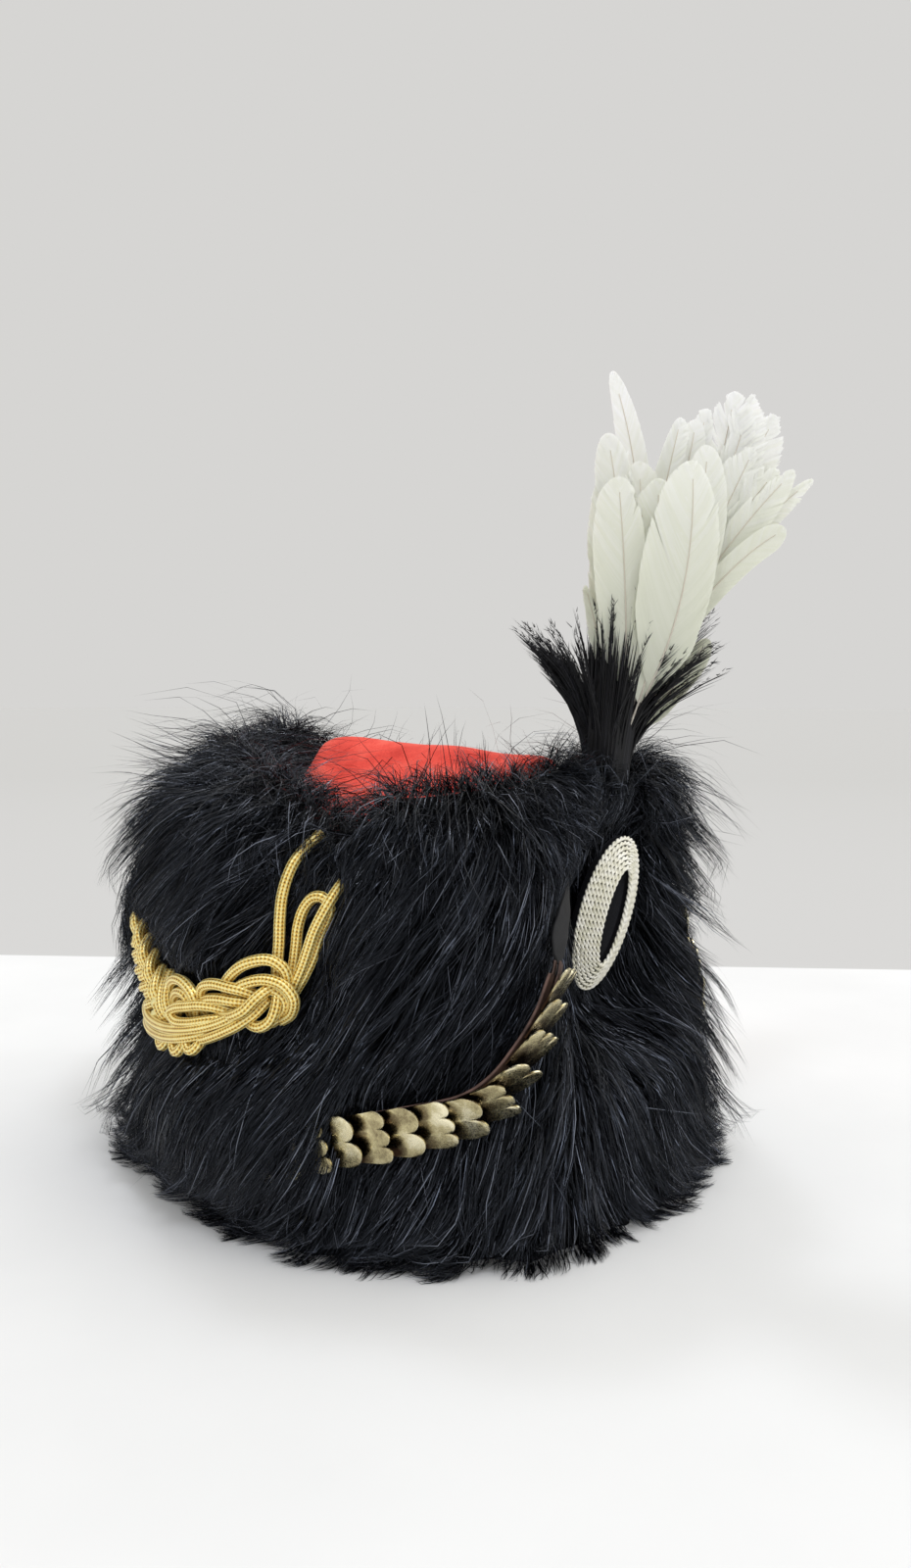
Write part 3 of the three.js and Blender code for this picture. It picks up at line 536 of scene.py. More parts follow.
FACE, OUTWARD, ROUND_STEP, UP_STEP = fur_map()
MAP_COLUMNS = FACE.shape[1]
ROUND_SIZE = np.linalg.norm(ROUND_STEP, axis=-1)
UP_SIZE = np.linalg.norm(UP_STEP, axis=-1)
SIDE_START = SKIRT_COLUMNS
CREST_START = SKIRT_COLUMNS + SIDE_COLUMNS
RECESS_START = CREST_START + CREST_COLUMNS
half_way_up = SIDE_START + SIDE_COLUMNS // 2
print("outward directions point out:", bool((dot(OUTWARD, FACE * (1, 1, 0))[:, half_way_up] > 0).all()))


def read(field, row, column):
    """Value of a field of the map between its rows, which wrap round the hat, and its columns."""
    column = np.clip(column, 0, MAP_COLUMNS - 1.001)
    r, c = np.floor(row).astype(int), np.floor(column).astype(int)
    fr, fc = row - r, column - c
    if field.ndim == 3:
        fr, fc = fr[:, None], fc[:, None]
    here, there = r % MAP_TURNS, (r + 1) % MAP_TURNS
    low = field[here, c] * (1 - fr) + field[there, c] * fr
    high = field[here, c + 1] * (1 - fr) + field[there, c + 1] * fr
    return low * (1 - fc) + high * fc


# %% [markdown]
# ## Where hair has to lie flat
#
# Straps, scales and cords press the fur down, and so do the cockade and the bag's drop. For every
# spot of the map, ROOM is the most that hair may stand off the face there: a little less than the
# piece above it, and more the further away it is, so that a hair dives under a strap and comes up
# again behind it. On the hidden stretches the fur lies over the piece, and nothing presses it.
#
# A route is a list of (turn, height, how far off the fur, twist). The scales' lowest rows and the
# strap's middle ones lie a few millimetres deeper than the solids do, since hair covers both there.

# %% Routes on the fur and the room under them
CHIN_RIGHT = [
    (-91, 36, 2.5, 0), (-80, 41, 2.5, 0), (-69, 50, 3.8, 0), (-57.5, 58, 5.6, 4), (-47, 67, 7.6, 16),
    (-42, 78, 10.8, 29), (-38.2, 92, 12.8, 39), (-35, 107, 13.8, 49), (-32.8, 121.5, 14, 55),
]
CHIN_LEFT = [(-turn, z, 3.4, 0) for turn, z, off, twist in CHIN_RIGHT]
FRONT_STRAP = [
    (-30.9, 124.5, 11, 24), (-30, 135, 9.5, 14), (-27, 147, 7, 8), (-20.8, 160, 4, 4), (-15.5, 172, 0.5, 0),
    (-9, 184, -3, 0), (0, 189, -3, 0), (9, 186, -3, 0), (16, 170, 0, 0), (20, 158, 3, 0),
    (23.5, 144, 4.5, 0), (26.5, 131, 4.5, 0),
]
FESTOON = [
    (-80, 122, 5, 0), (-77, 104, 5, 0), (-86, 102, 5, 0), (-94, 95, 5, 0), (-103, 92, 5, 0),
    (-113, 97, 5, 0), (-123, 108, 5, 0), (-133, 121, 5, 0), (-145, 133, 5, 0), (-160, 142, 5, 0),
    (-173, 146, 5, 0), (-182, 152, 5, 0),
]
RISERS = [
    [(-81.1, 124, 4, 0), (-80.9, 139, 4, 0), (-80.7, 150, 4, 0), (-80, 159, 4, 0), (-79.2, 164, 4, 0)],
    [(-77.6, 126, 4, 0), (-76.6, 144, 4, 0), (-75, 149.5, 4, 0), (-72.6, 150, 4, 0), (-70, 158, 4, 0)],
    [(-177.5, 160, 4, 0), (-177, 178, 4, 0), (-175, 192, 4, 0)],
]
# The cockade's and the bag's spots lie in rows over them. A row of the bag's drop is its height and
# half its width in degrees.
COCKADE_SPOTS = [(turn, z, 6, 0) for turn in (-13, -7, -1, 5) for z in (106, 118, 130, 142, 154, 166)]
BAG_DROP = ((178, 14), (164, 14), (150, 14), (136, 14), (122, 13), (108, 12), (95, 10), (82, 6))
BAG_SPOTS = [(90 + part * half, z, 6, 0) for z, half in BAG_DROP for part in (-1, -0.4, 0.4, 1)]


def route_on_fur(rows, spacing):
    """Smooth path through rows that start with (turn, height, off) on the fur's face."""
    return smooth_path([on_fur(*row[:3]) for row in rows], spacing)


def room_for(spots, half_width, off, slope=1.5):
    """Most that hair may stand off the face: "off" within the half width of the spots, and "slope"
    more for each millimetre beyond."""
    room = np.full(FACE.shape[:2], np.inf)
    flat = FACE.reshape(-1, 3)
    for spot in spots:
        near = np.linalg.norm(flat - spot, axis=1).reshape(room.shape)
        room = np.minimum(room, off + slope * np.maximum(near - half_width, 0))
    return room


def stretch(spots, hidden):
    """The spots of a route outside the hidden stretch of turns, where fur lies over the piece."""
    turn = np.degrees(np.arctan2(spots[:, 0], -spots[:, 1]))
    return spots[(turn < hidden[0]) | (turn > hidden[1])]


SCALES_HIDDEN = (-110, -61)
PLAIT_HIDDEN = (-149, -126)
SPOTS_APART = 4
LEFT_SHOWS_FROM = 26  # the first spot at which the left scales come out of the fur
STRAP_SHOWS = [row for row in FRONT_STRAP if row[0] < 0 and row[1] < 165]
ROOM = np.minimum.reduce([
    room_for(stretch(route_on_fur(CHIN_RIGHT, SPOTS_APART), SCALES_HIDDEN), 12, 1.0),
    room_for(route_on_fur(CHIN_LEFT, SPOTS_APART)[LEFT_SHOWS_FROM:], 8, 3.5, 2.5),
    room_for(route_on_fur(STRAP_SHOWS, SPOTS_APART), 6, 1.5),
    room_for(stretch(route_on_fur(FESTOON, SPOTS_APART), PLAIT_HIDDEN), 15, 1.0),
    *[room_for(route_on_fur(rows, SPOTS_APART), 4, 1.5) for rows in RISERS],
    room_for(route_on_fur(COCKADE_SPOTS, SPOTS_APART), 15, 1.0),
    room_for(route_on_fur(BAG_SPOTS, SPOTS_APART), 8, 1.0),
])
print("spots of the map with pressed hair:", int((ROOM < 5).sum()), "of", ROOM.size)

# %% [markdown]
# ## Undercoat
#
# Below the guard hairs lies a dense, short undercoat. It is a closed ring a few millimetres inside
# the fur's face, so no gap between the hairs shows the cap.

# %% Undercoat
UNDERCOAT_DEPTH = 7
CAP_CLEAR = 0.5  # millimetres that the ring keeps from the cap and the floor


def fur_fibre():
    """Dyed goat or bear hair, a smooth black shaft: near black, with a narrow cool glint drawn out along
    each strand. U holds a shade of its own for each hair, V runs from root to tip: one hair in fifteen is
    painted light grey, a painted highlight for the bright streaks along the fur, and the last tenth of the
    shades is a lighter grey painted on the down for the light that shines through fine hair."""
    made, tree = new_material(
        "black_dyed_hair", Roughness=0.27, Specular_IOR_Level=0.4, Specular_Tint=colour("dfe9ff"),
        Anisotropic=0.6)
    # Shades up to 0.83 are near black. From 0.845 to 0.89 the hairs are light grey, a painted highlight.
    # Past 0.91 the grey is painted on the down for the light that shines through it.
    tint = ramp(tree, own_uv(tree)["X"], [
        (0.0, "030304"), (0.5, "08090b"), (0.83, "0f1013"), (0.845, "3e4149"), (0.89, "868b97"),
        (0.91, "2e2f33"), (1.0, "505156")])
    paint(tree, tint)
    tangent = add(tree, "Tangent", direction_type="UV_MAP", uv_map="UVMap")
    tree.links.new(tangent.outputs["Tangent"], principled(tree).inputs["Tangent"])
    return made


def undercoat_wool():
    """Short matt under-wool below the guard hairs: soot black with streaks that run downwards."""
    made, tree = new_material("black_under_wool", Roughness=0.9, Specular_IOR_Level=0.15)
    stretched = add(tree, "Mapping", {"Vector": object_place(tree), "Scale": (900, 900, 70)})
    streak = noise(tree, stretched, 1.0, 4.0)
    paint(tree, ramp(tree, streak, [(0.35, "050506"), (0.7, "101114")]))
    bumps(tree, streak, 0.8, 0.002)
    return made


def undercoat():
    """Ring through every section: the face moved inwards, the recess, the cap's side and its foot."""
    chosen = np.s_[::2, SIDE_START:RECESS_START:2]
    inside = FACE[chosen] - UNDERCOAT_DEPTH * OUTWARD[chosen]
    turn = MAP_TURN[::2, None]
    cap_side = 0.5 * (cap_high.x - cap_low.x) / MM + CAP_CLEAR
    cap_front = 0.5 * (cap_high.y - cap_low.y) / MM + CAP_CLEAR
    back_wall = [oval(turn, cap_side, cap_front, z) for z in (CROWN + CAP_CLEAR, CAP_CLEAR)]
    inner_rim = oval(turn, RECESS_SIDE + 4, RECESS_FRONT + 4, CROWN + CAP_CLEAR)
    foot = inside[:, :1].copy()
    foot[..., 2] = CAP_CLEAR
    section = np.concatenate([foot, inside, inner_rim, *back_wall], axis=1)
    rows, columns = section.shape[:2]
    return build("fur_undercoat", section.reshape(-1, 3), [grid_faces(rows, columns, True, True)],
                 grid_uv(rows, columns), undercoat_wool(), "black_fur", replaces=("fur",))


undercoat()

# %% [markdown]
# ## Growing hair
#
# A hair is a narrow ribbon that tapers to a point. It starts below the face and walks over the map
# in a few steps, lying flatter towards its tip: `walk` gives the points of many hairs at once, and
# `ribbons` turns them into one mesh.

# %% Growing hair
HAIR_STEPS = 4
ROOT_DEPTH = 6.5
LEAST_STEP = 0.4  # millimetres: keeps a hair from running away where the map is pinched


def walk(row, column, lean, length, lift_root, lift_tip, droop):
    """Points of hairs that start at map places. At each step a hair moves along the face by its step
    times the cosine of its lift, in the direction "lean" from straight down, and away from the face
    by the sine. The droop lowers the tip by the square of the way along."""
    step = length / HAIR_STEPS
    off = np.full(len(row), -ROOT_DEPTH)
    points = []
    for index in range(HAIR_STEPS + 1):
        part = index / HAIR_STEPS
        room = read(ROOM, row, column)
        height = np.minimum(off, np.maximum(room, -ROOT_DEPTH) if index else off)
        point = read(FACE, row, column) + unit(read(OUTWARD, row, column)) * height[:, None]
        point[:, 2] -= droop * part ** 2
        points.append(point)
        lift = np.radians(lift_root + (lift_tip - lift_root) * part ** 0.6)
        along = step * np.cos(lift)
        off = np.minimum(off + step * np.sin(lift), np.maximum(room, 0.3))
        row = row + along * np.sin(lean) / np.maximum(read(ROUND_SIZE, row, column), LEAST_STEP)
        column = column - along * np.cos(lean) / np.maximum(read(UP_SIZE, row, column), LEAST_STEP)
    return np.stack(points, axis=1)


def strips(middle, half, flip=False):
    """Points and faces of flat strips along middle lines, as wide as "half" to each side, with one
    point at the tip. The faces of flipped strips look the other way."""
    count, stops = middle.shape[:2]
    body = np.stack([middle - half, middle + half], axis=2)[:, :-1].reshape(count, -1, 3)
    points = np.concatenate([body, middle[:, -1:]], axis=1)
    first = (np.arange(count) * points.shape[1])[:, None]
    quad, tip = ([1, 0, 2, 3], [1, 0, 2]) if flip else ([0, 1, 3, 2], [0, 1, 2])
    quads = np.concatenate([first + 2 * i + np.array(quad) for i in range(stops - 2)])
    return points, [quads, first + 2 * (stops - 2) + np.array(tip)]


def ribbons(name, paths, width, twist, shade, material, slot):
    """One mesh of tapering ribbons along paths. A ribbon's width lies across its path, turned about
    it by the twist. U is the hair's shade, V the part of the way along it."""
    stops = paths.shape[1]
    way = unit(np.gradient(paths, axis=1))
    out = unit(paths * (1, 1, 0) / (FUR_SIDE, FUR_FRONT, 1) + (0, 0, 0.35))
    across = unit(np.cross(way, out))
    face_on = np.cross(across, way)
    turned = across * np.cos(twist)[:, None, None] + face_on * np.sin(twist)[:, None, None]
    part = np.linspace(0, 1, stops)
    taper = 0.5 * (1 - part ** 2.2)
    points, faces = strips(paths, turned * (width[:, None] * taper)[..., None])
    v = np.concatenate([np.repeat(part[:-1], 2), [1.0]])
    u = shade[:, None] + np.concatenate([np.tile([0.0, 0.004], stops - 1), [0.002]])
    build(name, points.reshape(-1, 3), faces, joined(u, v).reshape(-1, 2), material, slot)


# %% [markdown]
# ## Locks
#
# Hairs grow in locks: each lock has a middle hair, the hairs round it start spread out and draw in
# to it, and the lock ends in a soft point. Locks stand at random places, as many per square
# millimetre everywhere, and `ripple` makes neighbouring ones lean alike.

# %% Locks
def scatter(rng, count, first_column, last_column):
    """Random places on a band of the map, as many per square millimetre everywhere."""
    band = np.arange(first_column, last_column)
    area = (ROUND_SIZE * UP_SIZE)[:, band]
    picked = rng.choice(area.size, size=count, p=(area / area.sum()).ravel())
    row, column = np.unravel_index(picked, area.shape)
    return row + rng.random(count), band[column] + rng.random(count)


def ripple(rng, row, column, size, amount):
    """Soft unevenness over the map: a few long sine waves in random directions."""
    total = np.zeros(len(row))
    for _ in range(5):
        round_waves = rng.integers(1, 1 + int(900 / size))
        up_waves = rng.normal(0, 250 / size)
        phase = rng.random() * 2 * np.pi
        total += np.sin(row * round_waves * np.pi / 180
                        + column * up_waves * 2 * np.pi / MAP_COLUMNS + phase)
    return amount * total / 1.6


def locks(rng, row, column, per_lock, spread, lean, length, lift, droop, draw_in, stray=0.0):
    """Hairs round each lock's middle. They start within "spread" of it, and at part t of the way
    along they are drawn to it by draw_in * t^1.3."""
    count = len(row)
    middle = walk(row, column, lean, length, *lift, droop)
    each = np.repeat(np.arange(count), per_lock)
    total = len(each)
    angle = rng.random(total) * 2 * np.pi
    reach = spread * np.sqrt(rng.random(total))
    around = reach * np.cos(angle) / np.maximum(read(ROUND_SIZE, row, column), LEAST_STEP)[each]
    up = reach * np.sin(angle) / np.maximum(read(UP_SIZE, row, column), LEAST_STEP)[each]
    own_lean = lean[each] + rng.normal(0, 0.10 + stray, total)
    own_length = length[each] * rng.uniform(0.72, 1.12, total)
    own_lift = [value[each] + rng.normal(0, np.degrees(0.05 + stray), total) for value in lift]
    paths = walk(row[each] + around, column[each] + up, own_lean, own_length, *own_lift, droop[each])
    part = np.linspace(0, 1, HAIR_STEPS + 1)
    pull = draw_in * rng.uniform(0.5, 1.0, total)[:, None] * part ** 1.3
    paths = paths + (middle[each] - paths) * pull[..., None]
    curl = rng.normal(0, 0.6, (total, 1, 3))
    swing = np.sin(part * 2.2 * np.pi + rng.random((total, 1)) * 6.3)[..., None]
    paths = paths + curl * swing * part[:, None]
    paths[..., 2] = np.maximum(paths[..., 2], 0.35)
    return paths


# %% [markdown]
# ## Guard hair on the side
#
# LEAN says which way the hair falls at each turn, in degrees from straight down towards larger
# turns. BEHIND says how loose it is: 0 lies combed down, as on the right, and 1 stands out
# shaggily, as at the back.

# %% Side
LEAN = [
    (-180, -10), (-130, -15), (-100, -15), (-70, -28), (-45, -32), (-25, -15), (-5, 5), (15, 12),
    (45, 5), (90, 0), (135, 0), (180, -10),
]
BEHIND = [(-180, 1), (-128, 1), (-100, 0.55), (-78, 0.1), (-20, 0.15), (10, 0.5), (40, 0.7), (180, 1)]
rng = np.random.default_rng(7)


def reach_of_floor(row, column, lean, past):
    """Length at which a hair's tip comes down to the floor, plus a little past it."""
    height = read(FACE, row, column)[:, 2]
    return height / np.maximum(np.cos(lean), 0.5) * 1.04 + past


def side_hair(count, per_lock):
    """Long guard hairs on the outer side, from the foot to the rim. Some locks stand proud of the
    others, the foot's splay out, and those at the wearer's right arch over the strap's end."""
    row, column = scatter(rng, count, SIDE_START - 1, CREST_START + 4)
    turn = wrapped(row - 180)
    part = (column - SIDE_START) / SIDE_COLUMNS
    lean = np.radians(table(LEAN, turn)) + np.radians(ripple(rng, row, column, 60, 9))
    lean += rng.normal(0, 0.13, count)
    upper = ease(part, 0.35, 0.9)
    behind = table(BEHIND, turn)
    skirt = 1 - ease(part, 0.0, 0.3)
    proud = (rng.random(count) < 0.16 + 0.34 * behind) * rng.uniform(0.4, 1.0, count)
    length = np.clip(43 + 7 * rng.normal(0, 1, count), 28, 60) * (1 + (0.22 + 0.14 * behind) * proud)
    lift_root = 27 + 11 * behind * upper + 7 * rng.normal(0, 1, count) + 13 * proud
    lift_tip = 3 + 15 * behind * upper + 5 * rng.normal(0, 1, count) + 25 * proud + 12 * skirt
    over_strap = np.exp(-((turn + 88) / 17) ** 4) * ease(part, 0.14, 0.26) * (1 - ease(part, 0.42, 0.52))
    lift_root, lift_tip = lift_root + 16 * over_strap, lift_tip + 22 * over_strap
    length = np.minimum(length, reach_of_floor(row, column, lean, rng.uniform(6, 15, count) + 7 * behind))
    draw_in = np.repeat(0.7 + 0.2 * proud, per_lock)[:, None]
    return locks(rng, row, column, per_lock, 4.6, lean, length, (lift_root, lift_tip),
                 np.full(count, 1.0), draw_in)


def cover_hair(count, per_lock, route, first, last, rise=64):
    """Locks above one stretch of a route: they start out at an angle of "rise", arch over what lies
    there and hide it, as the fur does where the scales go under the wearer's ear and the plait
    goes round to the back."""
    row = 180 + rng.uniform(first, last, count)
    places = sorted(row[:2] for row in route)
    height = np.interp(row - 180, [turn for turn, z in places], [z for turn, z in places])
    part = (height + rng.uniform(6, 40, count)) / crest(row - 180)
    column = SIDE_START + SIDE_COLUMNS * (part - SIDE_FOOT) / (SIDE_TOP - SIDE_FOOT)
    lean = np.radians(table(LEAN, row - 180)) + rng.normal(0, 0.16, count)
    length = rng.uniform(43, 62, count)
    lifts = rise + 6 * rng.normal(0, 1, count), -16 + 6 * rng.normal(0, 1, count)
    return locks(rng, row, column, per_lock, 5.0, lean, length, lifts, np.full(count, 1.0), 0.6)


# %% [markdown]
# ## Hair on the rim, stray hair and down
#
# Over the rim the fur stands up and falls to both sides, and it is longer round the plume. Single guard
# hairs stray from the outline. Short down shows between the locks of the rim, painted greyish for the light
# that shines through fine hair.

# %% Rim, strays and down
def crest_hair(count, per_lock, length_middle, spread, stray):
    """Hair on the round rim: it stands up and falls to the side that it grows on. Round the plume's
    turn it is longer and more upright."""
    row, column = scatter(rng, count, CREST_START - 8, RECESS_START - 3)
    inwards = (column - CREST_START) / CREST_COLUMNS
    inner = rng.random(count) < ease(inwards, 0.3, 0.62)
    lean = np.where(inner, np.pi, 0.0) + rng.normal(0, 0.35, count)
    length = length_middle * rng.uniform(0.7, 1.15, count) * (1 - 0.45 * ease(inwards, 0.55, 0.9))
    by_plume = np.exp(-(wrapped(row - 174) / 18) ** 2)
    length = length * (1 + 0.75 * by_plume)
    lift_root = 55 + 15 * rng.normal(0, 1, count) + 16 * by_plume
    lift_tip = 42 + 14 * rng.normal(0, 1, count) + 26 * by_plume
    droop = 0.12 * length
    return locks(rng, row, column, per_lock, spread, lean, length, (lift_root, lift_tip), droop, 0.55, stray)


def plume_hair(count, per_lock):
    """Upright locks round the foot of the plume, which stands down in the fur."""
    row = 180 + rng.uniform(-24, 16, count)
    column = CREST_START + rng.uniform(-7, 12, count)
    length = rng.uniform(28, 42, count)
    lifts = 84 + 6 * rng.normal(0, 1, count), 66 + 9 * rng.normal(0, 1, count)
    lean = rng.normal(0, 0.8, count)
    return locks(rng, row, column, per_lock, 4.0, lean, length, lifts, 0.05 * length, 0.5, 0.1)


def stray_hair(count):
    """Single long guard hairs that stand out from the rim, the back and the skirt."""
    row, column = scatter(rng, count, SIDE_START, RECESS_START - 6)
    turn = wrapped(row - 180)
    part = (column - SIDE_START) / SIDE_COLUMNS
    behind = table(BEHIND, turn)
    rim = ease(part, 0.85, 1.0)
    keep = rng.random(count) < np.maximum(rim, 0.25 + 0.65 * behind)
    row, column, part, behind, rim = (values[keep] for values in (row, column, part, behind, rim))
    count = len(row)
    inwards = ease(part, 1.1, 1.4)
    lean = np.where(rng.random(count) < inwards, np.pi, 0.0) + rng.normal(0, 0.45, count)
    length = rng.uniform(24, 46, count) + 17 * rim
    length = np.minimum(length, reach_of_floor(row, column, 0.0, 14.0))
    lift_root = 40 + 22 * rim + 10 * rng.normal(0, 1, count)
    lift_tip = 22 + 34 * rim + 14 * behind + 9 * rng.normal(0, 1, count)
    return walk(row, column, lean, length, lift_root, lift_tip, 0.05 * length)


def down_hair(count):
    """Short crimped down that shows where the rim's fur parts. Where it is planted it takes the lighter grey
    shades that are painted for the light that shines through fine hair.
    """
    row, column = scatter(rng, count, CREST_START - 10, RECESS_START)
    lean = rng.uniform(-np.pi, np.pi, count)
    length = rng.uniform(13, 22, count)
    lift_root = 62 + 12 * rng.normal(0, 1, count)
    paths = walk(row, column, lean, length, lift_root, lift_root - 20, 0.05 * length)
    return paths + rng.normal(0, 0.7, paths.shape) * np.linspace(0, 1, HAIR_STEPS + 1)[:, None]


# %% [markdown]
# ## Planting
#
# A hair may stand out a little past the frame's box, by 3 % of its size and 9 mm; the few that would
# reach further are left out. There are as many hairs as a limit of a million triangles allows.

# %% Planting
HAIR = fur_fibre()
HAIR_REACH = np.array([cad_high.x * 1.06 + 0.009, cad_high.y * 1.06 + 0.009])  # metres from the origin
HAIR_FLOOR = 0.5


def plant(name, paths, width, shades=(0.0, 0.9), piece_size=27000):
    """Hairs cut into pieces that each stay under 200,000 triangles, at seven triangles a hair."""
    paths = paths[(np.abs((paths * MM + AXIS)[..., :2]) < HAIR_REACH).all(axis=(1, 2))]
    paths[..., 2] = np.maximum(paths[..., 2], HAIR_FLOOR)
    for number, start in enumerate(range(0, len(paths), piece_size)):
        chunk = paths[start:start + piece_size]
        total = len(chunk)
        thick = width * rng.uniform(0.7, 1.25, total)
        twist = rng.normal(0, 0.9, total)
        ribbons(f"{name}_{number + 1}", chunk, thick, twist, rng.uniform(*shades, total), HAIR, "black_fur")


# The shades 0 to 0.9 include the one hair in fifteen that is painted light grey as a highlight.
plant("fur_side_hair", side_hair(4980, 13), 0.42)
plant("fur_scale_cover", cover_hair(480, 12, CHIN_RIGHT, -104, -60.5), 0.44)
plant("fur_plait_cover", cover_hair(260, 12, FESTOON[5:], -150, -125, 66), 0.44)
plant("fur_crest_hair", crest_hair(1700, 11, 30, 4.0, 0.12), 0.4)
plant("fur_plume_hair", plume_hair(230, 11), 0.4)
plant("fur_stray_hair", stray_hair(5200), 0.36)
# The down takes the last shades: a lighter grey, painted for the light that shines through fine hair.
plant("fur_down", down_hair(5000), 0.36, (0.91, 0.99))

# %% [markdown]
# ## Carrying a section along a path
#
# Leather bands, straps and cords all have one section from end to end. `frames_on_fur` gives, at
# each step of a route, the way along it, the way out of the fur and the way across it. `sweep`
# carries a section along such a route and closes both ends.

# %% Sweeps
def way_and_out(path):
    """Direction along a path at each of its points, and the one out of the fur square to it."""
    way = unit(np.gradient(path, axis=0))
    out = away(np.degrees(np.arctan2(path[:, 0] / FUR_SIDE, -path[:, 1] / FUR_FRONT)))
    return way, unit(out - way * dot(out, way))


def frames_on_fur(rows, spacing):
    """Path and three directions at each step: along it, out of the fur turned by the rows' twist,
    and across it."""
    path = route_on_fur(rows, spacing)
    way, out = way_and_out(path)
    places = np.linspace(0, len(rows) - 1, len(path))
    twist = np.radians(np.interp(places, np.arange(len(rows)), [row[3] for row in rows]))[:, None]
    out = out * np.cos(twist) + np.cross(way, out) * np.sin(twist)
    return path, way, out, np.cross(way, out)


def sweep(path, across, out, section):
    """Points, faces and corner UVs of a closed body: at each step of the path stands the section,
    whose pairs run anticlockwise as (across, out). U goes once round it, V is millimetres along."""
    steps, sides = len(path), section.shape[-2]
    section = np.broadcast_to(section, (steps, sides, 2))
    rings = path[:, None] + across[:, None] * section[..., :1] + out[:, None] * section[..., 1:]
    points = np.concatenate([rings.reshape(-1, 3), path[:1], path[-1:]])
    walls = grid_faces(steps, sides, wrap_columns=True)
    ring = np.arange(sides)
    following = (ring + 1) % sides
    start = joined(steps * sides, ring, following)
    last = (steps - 1) * sides
    end = joined(steps * sides + 1, last + following, last + ring)
    along = distances(path)
    v = joined(along[:-1], along[1:], along[1:], along[:-1])[:, None]
    u = joined(ring, ring, ring + 1, ring + 1)[None] / sides
    corner_uv = joined(u, v).reshape(-1, 2)
    cap_uv = np.broadcast_to([[0.5, 0.0]], (2 * sides * 3, 2))
    return points, [walls, start, end], np.concatenate([corner_uv, cap_uv])


def strap_section(width, thick, edge=0.35):
    """Flat section with rounded edges: a superellipse whose power is 2 / edge, sampled by angle."""
    angle = round_angles(20)
    across, out = np.cos(angle), np.sin(angle)
    return 0.5 * np.stack([
        np.multiply.outer(width, np.sign(across) * np.abs(across) ** edge),
        np.multiply.outer(thick, np.sign(out) * np.abs(out) ** edge),
    ], axis=-1)


# %% [markdown]
# ## Leather
#
# The chin scales are sewn to a brown leather strap whose cut edge shows beside them. Above the
# scales a black strap goes up to the cockade. Leather is a matt skin with fine pores: a small-scale
# noise gives the grain, and a broad one the uneven dye.

# %% Leather
LEATHER_WIDTH = 19
LEATHER_THICK = 1.6
STRAP_STEP = 2.0


def leather(name, dark, light, roughness):
    """Vegetable-tanned leather: dyed in two near tones, with pores about 0.6 mm apart."""
    made, tree = new_material(name, Roughness=roughness, Specular_IOR_Level=0.4)
    place_on = object_place(tree)
    dye = noise(tree, place_on, 140.0, 5.0)
    paint(tree, ramp(tree, dye, [(0.3, dark), (0.7, light)]))
    pores = add(tree, "TexVoronoi", {"Vector": place_on, "Scale": 1500.0})
    bumps(tree, pores.outputs["Distance"], 0.25, 0.0004)
    return made


BROWN_LEATHER = leather("brown_strap_leather", "3a2a24", "6b5249", 0.6)
BLACK_LEATHER = leather("black_strap_leather", "141415", "222224", 0.7)


def chin_leather(side, rows):
    """The brown strap under one side's scales."""
    path, way, out, across = frames_on_fur(rows, STRAP_STEP)
    body = sweep(path, across, out, strap_section(LEATHER_WIDTH, LEATHER_THICK))
    build(f"chin_strap_{side}", *body, BROWN_LEATHER, "brown_leather",
          replaces=(f"chin_leather_{side}",), sharp_above=60)


def front_strap():
    """The black strap over the front: broad like a leaf near its lower ends, narrow elsewhere."""
    path, way, out, across = frames_on_fur(FRONT_STRAP, STRAP_STEP)
    along = distances(path)
    from_end = np.minimum(along, along[-1] - along)
    width = table([(0, 2.5), (5, 7), (12, 9.5), (22, 7.5), (34, 4), (46, 3), (200, 3)], from_end)
    section = strap_section(width, np.full(len(path), LEATHER_THICK))
    build("cockade_strap", *sweep(path, across, out, section), BLACK_LEATHER, "black_leather",
          replaces=("front_strap",), sharp_above=60)


def strap_ends():
    """The brown strap's end, turned back on itself where the black strap holds it."""
    fold = [(-33.4, 113, 12, 52), (-32.8, 118, 12, 52), (-32, 122, 11.6, 52), (-31.4, 125.5, 11, 48)]
    for number, shift in enumerate((0.0, 2.3)):
        path, way, out, across = frames_on_fur(fold, 1.5)
        body = sweep(path + out * shift, across, out, strap_section(6.0, 0.9))
        build(f"strap_end_{number + 1}", *body, BROWN_LEATHER, "brown_leather", sharp_above=60)


chin_leather("right", CHIN_RIGHT)
chin_leather("left", CHIN_LEFT)
front_strap()
strap_ends()

# %% [markdown]
# ## Brass chin scales
#
# Each scale is a stamped brass plate whose free end has two or three round lobes. Plates with
# three lobes and with two take turns, so each row of lobes covers the gaps of the next. Lower
# plates lie over the roots of the upper ones. A plate is a grid: one way follows the arcs of its
# lobes, the other runs from its root to its lobed end, and its rim rolls down a little so that its
# edge catches the light.

# %% Brass scales
SCALE_COUNT = 14
SCALE_PITCH = 13
FIRST_SCALE = 3  # where the first plate's root lies along the strap
SCALE_LENGTH = 21
SCALE_WIDTH = 23
SCALE_THICK = 0.8
SCALE_TILT = 12  # degrees that a plate's free end stands up
SCALE_DOME = 0.9
SCALE_ROOT = 0.86  # width of the root as a part of the plate's
SCALE_CLEAR = 0.5
LOBE_STEPS = {2: 12, 3: 8}  # steps of the grid over one lobe, for plates with two or three
LOBE_DEPTH = 1.15  # how deep the notches are, as a part of half a lobe's width


